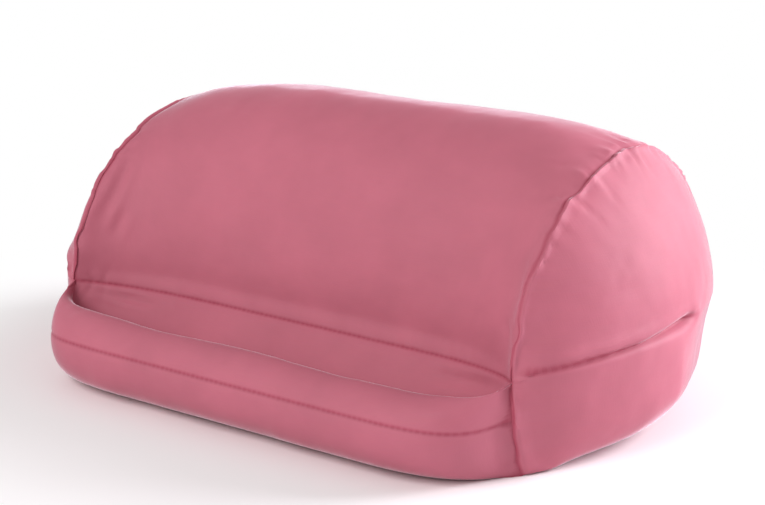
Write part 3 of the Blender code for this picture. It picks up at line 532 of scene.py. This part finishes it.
def puckers(gap, run, pitch, reach, seed):
    """Small gathers across a seam: rounded humps with sharp valleys, some short and some long."""
    run = run[:, None]
    lean = 0.5 * noise(run / LEAN_RUN, seed + 1)
    s = (run[:, 0] + gap * lean) / pitch
    wave = noise(np.stack([s, gap / PUCKER_SPAN], axis=1), seed)
    hump = np.sqrt(np.abs(wave) + 0.02) - 0.62
    size = reach * (0.75 + 0.75 * noise(s[:, None] / 1.7, seed + 2))
    strength = 0.55 + 0.6 * noise(run / STRENGTH_RUN, seed + 3)
    fade = np.exp(-((gap / np.maximum(size, SHORTEST_PUCKER)) ** 1.4)) * (1 - np.exp(-gap / PUCKER_START))
    return hump * fade * np.clip(strength, 0.12, 1.3)


SEAMS = {
    # groove depth and width, height and reach of the hump beside it, pucker height, pitch and reach
    "right": (0.0009, 0.0008, 0.0002, 0.0055, 0.0038, 0.0056, 0.0120),
    "left": (0.0009, 0.0008, 0.0002, 0.0055, 0.0028, 0.0056, 0.0120),
    "lip": (0.0004, 0.0007, 0.0001, 0.0035, 0.0012, 0.0040, 0.0045),
    "crease": (0.0006, 0.0010, 0.0003, 0.0040, 0.0020, 0.0070, 0.0080),
    "zip_top": (0.0000, 0.0010, 0.0004, 0.0040, 0.0012, 0.0060, 0.0070),
    "zip_bottom": (0.0000, 0.0010, 0.0003, 0.0040, 0.0006, 0.0060, 0.0050),
    "base_front": (0.0000, 0.0010, 0.0003, 0.0030, 0.0012, 0.0060, 0.0080),
    "base_back": (0.0000, 0.0010, 0.0003, 0.0030, 0.0010, 0.0060, 0.0070),
}


def press(points, line, width, depth):
    """A soft crease pressed in along a line of points in space, with a low ridge on each side."""
    line = np.array(line)
    dense = np.concatenate([mix(a, b, np.linspace(0, 1, 24)[:, None]) for a, b in zip(line, line[1:])])
    gap, run = nearest(dense, np.linspace(0, 1, len(dense)), points)
    gap = gap / width
    taper = np.sin(math.pi * np.clip(run, 0, 1)) ** 0.6
    return taper * depth * (RIDGE * np.exp(-((gap - RIDGE_GAP) ** 2) * 1.6) - np.exp(-gap ** 1.3))


WRINKLES = (
    # points along each, half width and depth
    (((0.1455, -0.0785, 0.0475), (0.122, -0.068, 0.0415), (0.092, -0.064, 0.0385)), 0.0034, 0.0026),
    (((-0.143, -0.0775, 0.0462), (-0.120, -0.066, 0.0420), (-0.100, -0.063, 0.0405)), 0.0022, 0.0020),
    (((-0.141, -0.066, 0.085), (-0.1385, -0.053, 0.103), (-0.141, -0.036, 0.121)), 0.0030, 0.0016),
    (((-0.135, -0.062, 0.074), (-0.131, -0.052, 0.092)), 0.0030, 0.0010),
    (((0.142, -0.072, 0.070), (0.137, -0.066, 0.074), (0.131, -0.062, 0.073)), 0.0024, 0.0010),
    (((0.176, -0.028, 0.094), (0.178, -0.020, 0.101), (0.176, -0.010, 0.103)), 0.0022, 0.0008),
    (((0.177, -0.036, 0.084), (0.180, -0.026, 0.089), (0.182, -0.014, 0.090)), 0.0022, 0.0007),
    (((-0.176, -0.028, 0.096), (-0.179, -0.016, 0.101), (-0.178, -0.004, 0.106)), 0.0022, 0.0008),
    (((0.135, -0.103, 0.043), (0.127, -0.107, 0.041), (0.117, -0.110, 0.041)), 0.0030, 0.0010),
    (((-0.135, -0.103, 0.043), (-0.128, -0.108, 0.041), (-0.119, -0.111, 0.041)), 0.0030, 0.0010),
)


def side_seam(points, gap, run, depth, width):
    """What an end's seam has of its own: a rim, a wavy run, and an upright part that stands out."""
    rim = bell(gap - RIM_GAP, RIM_WIDTH)
    height = np.where(np.abs(points[:, 0]) > SEAM_X + 1e-6, RIM_OUT * rim, RIM_IN * rim)
    upright = (points[:, 1] < 0) * (1 - smooth(*UPRIGHT_TO_Z, points[:, 2]))
    height += UPRIGHT_SHALLOWER * depth * upright * bell(gap, width)
    sway = SWAY * noise(run[:, None] / SWAY_PITCH, SEED + 5) * bell(gap, SWAY_REACH)
    fill = CORNER_FILL * upright * bell(gap, CORNER_FILL_REACH) * math.sqrt(0.5)
    return height, sway, fill


def foot_spread(points):
    """How far out each point goes, so that the ends' feet rest broadly on the floor."""
    along = smooth(*FOOT_FROM_Y, points[:, 1]) * (1 - smooth(*FOOT_TO_Y, points[:, 1]))
    out = smooth(*FOOT_FROM_SEAM, np.abs(points[:, 0]) - SEAM_X)
    return FOOT_SPREAD * along * out * bell(points[:, 2], FOOT_HEIGHT)


def dressed(form, rows):
    """The points of the form with seams, puckers, wrinkles and the unevenness of a bead filling."""
    points = np.array(form.points)
    z = points[:, 2]
    normals = point_normals(points, form.faces)
    # The gap to the nearest seam, or the fold's stand-in gap, which sets the painted shade in the material
    edge = np.array([form.folds.get(k, 1.0) for k in range(len(points))])
    height, sway, fill = np.zeros((3, len(points)))
    for number, (name, (line, length)) in enumerate(seam_places(form, rows).items()):
        depth, width, hump, far, rise, pitch, reach = SEAMS[name]
        gap, run = nearest(line, length, points)
        gathers = puckers(gap, run, pitch, reach, SEED + 10 * number)
        if name in ("right", "left"):
            gathers *= END_GATHERS + HIGH_GATHERS * smooth(*GATHER_RISE_Z, z)
            more_height, more_sway, more_fill = side_seam(points, gap, run, depth, width)
            height += more_height
            sway += more_sway
            fill += more_fill
        height -= depth * bell(gap, width)
        height += hump * bell(gap - far, 0.8 * far)
        height += rise * gathers
        edge = np.minimum(edge, gap)
    for k, (size, pitch) in enumerate(UNEVEN):
        height += size * noise(points / pitch, SEED + 91 + k)
    for line, width, depth in WRINKLES:
        height += press(points, line, width, depth)
    corner_gap = np.linalg.norm(np.abs(points) - np.array((SEAM_X, -CORNER[0], CORNER[1])), axis=1)
    calm = smooth(*CORNER_CALM, corner_gap)
    height *= mix(CORNER_LEFT, 1, calm) * smooth(*FLOOR_CALM, z)
    sway *= calm * mix(UPRIGHT_SWAY, 1, smooth(*UPRIGHT_SWAY_Z, z)) * smooth(*FLOOR_CALM, z)
    height[(np.abs(z - ZIP_Z) < ZIP_SLOT / 2 + 1e-5) & (points[:, 1] > ZIP_Y - 1e-4)] = 0.0
    moved = points + normals * height[:, None]
    moved[:, 0] += np.sign(points[:, 0]) * (sway + fill + foot_spread(points))
    moved[:, 1] -= fill
    moved[:, 2] = np.maximum(moved[:, 2], 0.0)
    return moved, edge


def placed(name, data):
    """A new object in the scene."""
    obj = bpy.data.objects.new(name, data)
    bpy.context.scene.collection.objects.link(obj)
    return obj


def sheet_mesh(name, points, cloth, edge, faces, thickness):
    """A cloth panel as a closed solid: its face, its back set in, and a rim."""
    ids = sorted({i for f in faces for i in f})
    where = {i: k for k, i in enumerate(ids)}
    faces = [[where[i] for i in f] for f in faces]
    outer = points[ids]
    count = len(ids)
    half_edges = dict.fromkeys((i, f[(k + 1) % len(f)]) for f in faces for k, i in enumerate(f))
    border = [(i, j) for i, j in half_edges if (j, i) not in half_edges]
    inner = outer - point_normals(outer, faces) * thickness
    for layer in (outer, inner):
        layer[:, 2] = np.maximum(layer[:, 2], 0.0)
    lift = FLOOR_LIFT * thickness
    inner[(inner[:, 2] < lift) & (outer[:, 2] >= 1e-5), 2] += lift
    solid = faces + [[i + count for i in reversed(f)] for f in faces]
    solid += [[j, i, i + count, j + count] for i, j in border]
    mesh = bpy.data.meshes.new(name)
    mesh.from_pydata(np.concatenate([outer, inner]).tolist(), [], solid)
    uv = mesh.uv_layers.new(name="cloth")
    loops = np.empty(len(mesh.loops), np.int32)
    mesh.loops.foreach_get("vertex_index", loops)
    uv.data.foreach_set("uv", np.array(cloth)[ids][loops % count].astype(np.float32).ravel())
    near = mesh.attributes.new("seam_gap", "FLOAT", "POINT")
    near.data.foreach_set("value", np.tile(edge[ids], 2).astype(np.float32))
    mesh.shade_smooth()
    mesh.set_sharp_from_angle(angle=math.radians(60))
    return placed(name, mesh)


def nodes_of(name):
    mat = bpy.data.materials.new(name)
    mat.use_nodes = True
    tree = mat.node_tree
    return mat, tree, tree.nodes["Principled BSDF"]


def plug(tree, node, **values):
    """Numbers, or other nodes' results, for sockets named with _ for a space."""
    for key, value in values.items():
        socket = node.inputs[key.replace("_", " ")]
        if isinstance(value, bpy.types.NodeSocket):
            tree.links.new(value, socket)
        else:
            socket.default_value = value


def add(tree, kind, **values):
    """A new node. Names in lower case are its settings, the others its sockets."""
    node = tree.nodes.new("ShaderNode" + kind)
    for key in [key for key in values if key.islower()]:
        setattr(node, key, values.pop(key))
    plug(tree, node, **values)
    return node


def math_node(tree, operation, *values):
    """The result of one sum, of numbers or of other nodes' results."""
    node = add(tree, "Math", operation=operation)
    for socket, value in zip(node.inputs, values):
        if isinstance(value, (int, float)):
            socket.default_value = value
        else:
            tree.links.new(value, socket)
    return node.outputs["Value"]


def object_place(tree):
    return add(tree, "TexCoord").outputs["Object"]


def stretched(tree, source, scale):
    return add(tree, "Mapping", Vector=source, Scale=scale).outputs["Vector"]


def ramp(tree, value, low, high, places=(0.0, 1.0)):
    """A colour between two, for a value between two places."""
    node = add(tree, "ValToRGB", Fac=value)
    for stop, place, colour in zip(node.color_ramp.elements, places, (low, high)):
        stop.position = place
        stop.color = (*colour, 1)
    return node.outputs["Color"]


def ranged(tree, value, low, high, **values):
    """A value taken from one range, 0 to 1 unless told otherwise, to another."""
    return add(tree, "MapRange", Value=value, To_Min=low, To_Max=high, **values).outputs["Result"]


def bumped(tree, height, strength, distance, **values):
    return add(tree, "Bump", Height=height, Strength=strength, Distance=distance, **values).outputs["Normal"]


def topstitching(tree, x, y, z):
    """The dashes of a line of stitches along X, and 1 on the stitches of the rows beside the zip."""
    dash = math_node(tree, "SINE", math_node(tree, "MULTIPLY", x, 2 * math.pi / STITCH))
    dash = math_node(tree, "SMOOTH_MIN", math_node(tree, "MULTIPLY_ADD", dash, 2.5, 1.0), 1.0)
    dash = math_node(tree, "MAXIMUM", dash, 0.0)
    rows = []
    for height in TOPSTITCH_ZS:
        off = math_node(tree, "ABSOLUTE", math_node(tree, "SUBTRACT", z, height))
        rows.append(math_node(tree, "LESS_THAN", off, STITCH_WIDTH / 2))
    at_back = math_node(tree, "GREATER_THAN", y, TOPSTITCH_FROM_Y)
    sewn = math_node(tree, "MULTIPLY", math_node(tree, "MAXIMUM", *rows), dash)
    return dash, math_node(tree, "MULTIPLY", sewn, at_back)


def satin(name, colour, shade_colour, sheen):
    """Polyester satin: long fine threads, a broad soft gloss, and painted shade in the seams and the end's
    fold.
    """
    mat, tree, shader = nodes_of(name)
    cloth = add(tree, "UVMap", uv_map="cloth").outputs["UV"]
    place = object_place(tree)
    cloud = add(tree, "TexNoise", Vector=place, Scale=26.0, Detail=3.0, Roughness=0.55).outputs["Fac"]
    long_way = stretched(tree, cloth, (90.0, 2600.0, 1.0))
    short_way = stretched(tree, cloth, (2400.0, 160.0, 1.0))
    threads = add(tree, "TexNoise", Vector=long_way, Scale=1.0, Detail=2.0, Roughness=0.6)
    cross = add(tree, "TexNoise", Vector=short_way, Scale=1.0, Detail=1.0).outputs["Fac"]
    tone = ramp(tree, cloud, [c * 0.93 for c in colour], [min(1, c * 1.05) for c in colour], (0.30, 0.72))
    streak = add(tree, "Mix", data_type="RGBA", blend_type="MULTIPLY",
                 Factor=0.10, A=tone, B=threads.outputs["Color"])
    # Painted shade: towards a seam or the end's fold the colour darkens, and the sheen weakens there too
    gap = add(tree, "Attribute", attribute_name="seam_gap").outputs["Fac"]
    near = ranged(tree, gap, SEAM_PAINTED_SHADE, 0.0, interpolation_type="SMOOTHSTEP", From_Max=SEAM_PAINTED_SHADE_REACH)
    split = add(tree, "SeparateXYZ", Vector=place)
    dash, stitch = topstitching(tree, *[split.outputs[axis] for axis in "XYZ"])
    # The painted shade is broken into dashes along X, like the shade of small gathers
    broken = math_node(tree, "MULTIPLY_ADD", dash, 0.22, 0.78)
    painted_shade = add(tree, "Mix", data_type="RGBA", Factor=math_node(tree, "MULTIPLY", near, broken),
               A=streak.outputs["Result"], B=(*shade_colour, 1))
    sewn = add(tree, "Mix", data_type="RGBA", Factor=stitch, A=painted_shade.outputs["Result"], B=(*THREAD, 1))
    weave = math_node(tree, "ADD", threads.outputs["Fac"], cross)
    normal = bumped(tree, weave, 0.22, 0.0002)
    normal = bumped(tree, cloud, 0.30, 0.0012, Normal=normal)
    normal = bumped(tree, stitch, 0.8, 0.0004, Normal=normal)
    plug(tree, shader, Base_Color=sewn.outputs["Result"], Normal=normal, Specular_IOR_Level=0.28,
         Roughness=ranged(tree, threads.outputs["Fac"], 0.54, 0.68),
         Sheen_Weight=ranged(tree, near, sheen, 0.1 * sheen), Sheen_Roughness=0.24, Sheen_Tint=SHEEN_TINT)
    return mat


def calico():
    """Unbleached cotton: a plain weave with thick and thin threads and a few darker specks."""
    mat, tree, shader = nodes_of("calico")
    place = object_place(tree)
    waves = [add(tree, "TexWave", bands_direction=direction, Vector=place, Scale=340.0, Distortion=1.4,
                 Detail_Scale=0.3).outputs["Fac"] for direction in ("X", "Z")]
    weave = math_node(tree, "MULTIPLY", *waves)
    specks = add(tree, "TexNoise", Vector=place, Scale=420.0, Detail=2.0).outputs["Fac"]
    tone = ramp(tree, specks, [c * 0.72 for c in COTTON], COTTON, (0.28, 0.55))
    shade = add(tree, "Mix", data_type="RGBA", blend_type="MULTIPLY", Factor=0.14, A=tone, B=weave)
    plug(tree, shader, Base_Color=shade.outputs["Result"], Roughness=0.88, Sheen_Weight=0.15,
         Normal=bumped(tree, weave, 0.5, 0.0003))
    return mat


def beads_material():
    """White foam beads, each a rounded cell, with painted shade greying the gaps between cells."""
    mat, tree, shader = nodes_of("foam_beads")
    cells = add(tree, "TexVoronoi", Vector=object_place(tree), Scale=300.0).outputs["Distance"]
    # Grey towards each cell's edge: painted shade between the beads
    tone = ramp(tree, cells, (0.90, 0.90, 0.88), (0.55, 0.55, 0.54), (0.25, 0.75))
    plug(tree, shader, Base_Color=tone, Roughness=0.6, Subsurface_Weight=0.1, Subsurface_Scale=0.002,
         Normal=bumped(tree, cells, 0.8, 0.0012, invert=True))
    return mat


def tape_material():
    """Zip tape: a close herringbone weave in the cover's colour, a little darker and duller."""
    mat, tree, shader = nodes_of("zip_tape_weave")
    place = object_place(tree)
    turned = add(tree, "Mapping", Vector=place, Rotation=(0, math.radians(45), 0)).outputs["Vector"]
    ribs = add(tree, "TexWave", bands_direction="X", Vector=turned, Scale=420.0, Distortion=0.6)
    ribs = ribs.outputs["Fac"]
    cloud = add(tree, "TexNoise", Vector=place, Scale=160.0, Detail=3.0).outputs["Fac"]
    tone = ramp(tree, math_node(tree, "MULTIPLY", ribs, cloud), (0.36, 0.075, 0.120), (0.53, 0.130, 0.190))
    plug(tree, shader, Base_Color=tone, Roughness=0.72, Sheen_Weight=0.2,
         Normal=bumped(tree, ribs, 0.6, 0.0003))
    return mat


def teeth_material():
    """Moulded plastic teeth, dyed to match, with fine flow marks."""
    mat, tree, shader = nodes_of("zip_teeth_plastic")
    flow = add(tree, "TexNoise", Vector=object_place(tree), Scale=900.0, Detail=2.0).outputs["Fac"]
    tone = ramp(tree, flow, (0.47, 0.100, 0.155), (0.60, 0.150, 0.215))
    plug(tree, shader, Base_Color=tone, Roughness=ranged(tree, flow, 0.26, 0.42), Coat_Weight=0.25,
         Subsurface_Weight=0.08, Subsurface_Scale=0.001, Normal=bumped(tree, flow, 0.2, 0.0001))
    return mat


def metal_material():
    """Nickel plate over a die casting, brushed along the zip and rubbed duller in patches."""
    mat, tree, shader = nodes_of("brushed_nickel")
    place = object_place(tree)
    brush_way = stretched(tree, place, (120.0, 3000.0, 3000.0))
    brushed = add(tree, "TexNoise", Vector=brush_way, Scale=1.0, Detail=3.0).outputs["Fac"]
    worn = add(tree, "TexNoise", Vector=place, Scale=260.0, Detail=4.0).outputs["Fac"]
    tone = ramp(tree, worn, (0.50, 0.48, 0.45), (0.68, 0.66, 0.62), (0.3, 0.7))
    rough = ranged(tree, math_node(tree, "MULTIPLY", brushed, worn), 0.22, 0.60, From_Min=0.1, From_Max=0.5)
    plug(tree, shader, Base_Color=tone, Metallic=1.0, Roughness=rough,
         Normal=bumped(tree, brushed, 0.15, 0.00008))
    return mat


def put_on(obj, node, mat):
    """The piece takes the place of a solid, in its own material, and rides with the stand."""
    obj.data.materials.append(mat)
    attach(obj, "stand")
    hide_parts(node)


def covers():
    """The cover's seven panels, cut from one dressed skin, which is returned."""
    form = Form()
    rows = body_grid(form)
    end_panel(form, rows[-1], 1, "end_right")
    end_panel(form, rows[0], -1, "end_left")
    points, edge = dressed(form, rows)
    pink = satin("satin", SATIN, SATIN_PAINTED_SHADE, 1.0)
    lip_pink = satin("satin_lip", LIP_SATIN, LIP_SATIN_PAINTED_SHADE, 0.90)
    made = (
        ("log_cover", "log", "log_panel", pink, "cover"),
        ("trough_cover", "trough", "trough_panel", pink, "cover"),
        ("lip_front_cover", "lip_front", "lip_front_panel", lip_pink, "lip_cloth"),
        ("back_cover", "back", "back_strip", pink, "cover"),
        ("base_cover", "base", "base_panel", pink, "cover"),
        ("end_cover_right", "end_right", "end_panel_right", pink, "cover"),
        ("end_cover_left", "end_left", "end_panel_left", pink, "cover"),
    )
    for name, panel, node, mat, slot_name in made:
        faces = [f for f, p in zip(form.faces, form.panels) if p == panel]
        obj = sheet_mesh(name, points, form.cloth, edge, faces, CLOTH)
        put_on(obj, node, mat)
    return BVHTree.FromPolygons([Vector(p) for p in points], form.faces)


def even_mesh(node, size, rounds):
    """A solid's surface as an even mesh of small faces: its points, and its faces as indexes."""
    source = bpy.data.objects[node]
    obj = placed("even", source.data.copy())
    obj.matrix_world = source.matrix_world
    even = obj.modifiers.new("even", "REMESH")
    even.mode = "VOXEL"
    even.voxel_size = size
    soft = obj.modifiers.new("soft", "SMOOTH")
    soft.factor = 0.5
    soft.iterations = rounds
    graph = bpy.context.evaluated_depsgraph_get()
    result = bpy.data.meshes.new_from_object(obj.evaluated_get(graph))
    points = np.empty(len(result.vertices) * 3)
    result.vertices.foreach_get("co", points)
    matrix = np.array(source.matrix_world)
    points = points.reshape(-1, 3) @ matrix[:3, :3].T + matrix[:3, 3]
    faces = [list(p.vertices) for p in result.polygons]
    bpy.data.objects.remove(obj)
    bpy.data.meshes.remove(result)
    return points, faces


def tucked(points, skin, depth):
    """The points, moved in where they are less than a given depth behind the skin."""
    out = points.copy()
    for k, p in enumerate(points):
        place, normal, *_ = skin.find_nearest(p)
        short = depth - (place - Vector(p)).dot(normal)
        if short > 0:
            out[k] -= np.array(normal) * short
    return out


def evened(points, faces):
    """The points, each moved half way to the middle of its neighbours."""
    total = np.zeros_like(points)
    count = np.zeros(len(points))
    for corner in range(4):
        ids = np.array([f[corner % len(f)] for f in faces])
        after = np.array([f[(corner + 1) % len(f)] for f in faces])
        np.add.at(total, ids, points[after])
        np.add.at(total, after, points[ids])
        np.add.at(count, ids, 1)
        np.add.at(count, after, 1)
    return mix(points, total / count[:, None], 0.5)


def crumple(points, seed):
    """Small folds of thin cotton, from 0 to 1."""
    broad, fine = [1 - np.minimum(1, 1.8 * np.abs(noise(points / pitch, seed + k)))
                   for k, pitch in enumerate(CRUMPLE_PITCHES)]
    return 0.65 * broad ** 2 + 0.35 * fine ** 2


def inner_bag(name, skin, cotton, beads, voxel):
    """A bag of beads: the filling, its cotton liner with a mouth, and the patch sewn over the mouth."""
    points, faces = even_mesh(name + "_bead_fill", voxel, 4)
    for _ in range(3):
        points = tucked(points, skin, FILL_DEPTH)
        points[:, 2] = np.maximum(points[:, 2], FILL_FLOOR_Z)
        points = evened(points, faces)
    normals = point_normals(points, faces)
    low, high = [np.array(c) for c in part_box(name + "_liner_patch")]
    middle = np.array([points[f].mean(axis=0) for f in faces])
    facing = face_normals(points, faces)[:, 1] > 0
    over = facing & (middle > low - 1e-4).all(axis=1) & (middle < high + PATCH_SLACK).all(axis=1)
    lap = np.array((PATCH_LAP, -1.0, min(PATCH_LAP, (high[2] - low[2]) / 4)))
    mouth = over & (middle > low + lap).all(axis=1) & (middle < high - lap).all(axis=1)
    cloth = points[:, [0, 2]]
    edge = np.ones(len(points))
    fold = crumple(points, SEED + 21)[:, None] * normals * LINER_FOLD
    outer = tucked(points + normals * LINER_OUT + fold, skin, LINER_DEPTH)
    shells = (("_cotton", "_liner", outer, ~mouth, 0.85),
              ("_patch", "_liner_patch", points + normals * PATCH_OUT + fold, over, 0.1))
    for ending, node_ending, shell, chosen, fill in shells:
        kept = [f for f, use in zip(faces, chosen) if use]
        obj = sheet_mesh(name + ending, shell, cloth, edge, kept, CLOTH)
        put_on(obj, name + node_ending, cotton)
    bumps = 0.5 + 0.5 * noise(points / BEAD_PITCH, SEED + 31)
    mesh = bpy.data.meshes.new(name + "_beads")
    mesh.from_pydata((points - normals * (BEAD_BUMP * bumps)[:, None]).tolist(), [], faces)
    mesh.shade_smooth()
    put_on(placed(name + "_beads", mesh), name + "_bead_fill", beads)


def divider(cotton):
    """The strip under the trough, with the slight pucker of cloth that is pulled down by its stitching."""
    source = bpy.data.objects["trough_divider"]
    bm = bmesh.new()
    bm.from_mesh(source.data)
    bm.transform(source.matrix_world)
    bmesh.ops.subdivide_edges(bm, edges=bm.edges[:], cuts=3, use_grid_fill=True)
    mesh = bpy.data.meshes.new("divider_strip")
    bm.to_mesh(mesh)
    bm.free()
    points = np.empty(len(mesh.vertices) * 3)
    mesh.vertices.foreach_get("co", points)
    points = points.reshape(-1, 3)
    low, high = points.min(axis=0), points.max(axis=0)
    rise = np.clip((points[:, 2] - low[2]) / (high[2] - low[2]), 0, 1)
    wave = noise(points[:, [0, 2]] / DIVIDER_PITCHES, SEED + 41)
    points[:, 1] += DIVIDER_WAVE * wave * np.sin(math.pi * rise)
    mesh.vertices.foreach_set("co", points.ravel())
    mesh.shade_smooth()
    mesh.set_sharp_from_angle(angle=math.radians(50))
    put_on(placed("divider_strip", mesh), "trough_divider", cotton)


def zip_finish():
    """The zip's own solids keep their shapes and take finer materials."""
    looks = (
        (tape_material(), "zip_tape", ("zip_tape_upper", "zip_tape_lower")),
        (teeth_material(), "zip_teeth", ("zip_teeth_upper", "zip_teeth_lower")),
        (metal_material(), "zip_metal", ("zip_slider", "zip_pull", "zip_bottom_stop",
                                         "zip_top_stop_upper", "zip_top_stop_lower")),
    )
    for mat, slot_name, nodes in looks:
        for node in nodes:
            obj = bpy.data.objects[node]
            obj.material_slots[0].material = mat


def camera():
    """The photograph's camera."""
    data = bpy.data.cameras.new("camera")
    data.sensor_width = 36.0
    data.lens = FOCAL_LENGTH / PHOTO_WIDTH * data.sensor_width
    data.clip_start, data.clip_end = 0.05, 20.0
    obj = placed("camera", data)
    turn = Matrix((CAMERA_RIGHT, CAMERA_UP, CAMERA_BACK)).transposed().to_4x4()
    obj.matrix_world = Matrix.Translation(CAMERA_PLACE) @ turn
    bpy.context.scene.camera = obj


def lamp(name, place, size, power, colour):
    """A round lamp that looks at the middle of the stand."""
    data = bpy.data.lights.new(name, "AREA")
    data.shape = "DISK"
    data.size = size
    data.energy = power
    data.color = colour
    obj = placed(name, data)
    obj.location = place
    obj.rotation_euler = (LAMP_TARGET - Vector(place)).to_track_quat("-Z", "Y").to_euler()


def ray_is(tree, *kinds):
    """1 for a ray of one of these kinds, else 0."""
    path = add(tree, "LightPath")
    share, *others = [path.outputs[f"Is {kind} Ray"] for kind in kinds]
    for other in others:
        share = math_node(tree, "MAXIMUM", share, other)
    return share


def blended(tree, share, first, second, out):
    """Two shaders mixed into an output node."""
    blend = add(tree, "MixShader", Fac=share)
    tree.links.new(first.outputs[0], blend.inputs[1])
    tree.links.new(second.outputs[0], blend.inputs[2])
    tree.links.new(blend.outputs[0], out.inputs["Surface"])


def white_world():
    """Soft light from all round, in front of a white that only shows."""
    world = bpy.data.worlds.new("studio")
    bpy.context.scene.world = world
    world.use_nodes = True
    tree = world.node_tree
    tree.nodes.clear()
    light = add(tree, "Background", Color=(1.0, 0.985, 0.99, 1), Strength=0.44)
    shown = add(tree, "Background", Color=(1, 1, 1, 1), Strength=1.0)
    blended(tree, ray_is(tree, "Camera", "Glossy", "Transmission"), light, shown, add(tree, "OutputWorld"))


def white_floor():
    """A matt floor that shows the stand's shadow and runs out into plain white."""
    mesh = bpy.data.meshes.new("floor")
    mesh.from_pydata([(-9, -9, 0), (9, -9, 0), (9, 9, 0), (-9, 9, 0)], [], [(0, 1, 2, 3)])
    floor = placed("floor", mesh)
    mat, tree, shader = nodes_of("floor_white")
    cloud = add(tree, "TexNoise", Scale=3.0).outputs["Fac"]
    plug(tree, shader, Roughness=0.9, Specular_IOR_Level=0.1,
         Base_Color=ramp(tree, cloud, (0.93, 0.93, 0.93), (0.97, 0.97, 0.97)))
    away = add(tree, "VectorMath", operation="LENGTH", Vector=object_place(tree)).outputs["Value"]
    far = ranged(tree, away, 0.0, 1.0, interpolation_type="SMOOTHSTEP", From_Min=0.20, From_Max=0.36)
    share = math_node(tree, "MULTIPLY", ray_is(tree, "Camera", "Glossy"), far)
    blended(tree, share, shader, add(tree, "Emission"), tree.nodes["Material Output"])
    mesh.materials.append(mat)


def studio():
    """A white floor in a white world, the main lamp behind at the right, and a softer one in front."""
    white_world()
    white_floor()
    lamp("key", (1.00, 1.10, 0.62), 0.9, 38.0, (0.97, 0.93, 1.0))
    lamp("fill", (-0.3, -1.35, 1.1), 1.2, 18.0, (1.0, 0.96, 0.96))


skin = covers()
cotton = calico()
foam = beads_material()
inner_bag("log", skin, cotton, foam, 0.0026)
inner_bag("lip", skin, cotton, foam, 0.0018)
divider(cotton)
zip_finish()
camera()
studio()
bpy.context.scene.view_settings.view_transform = "Standard"
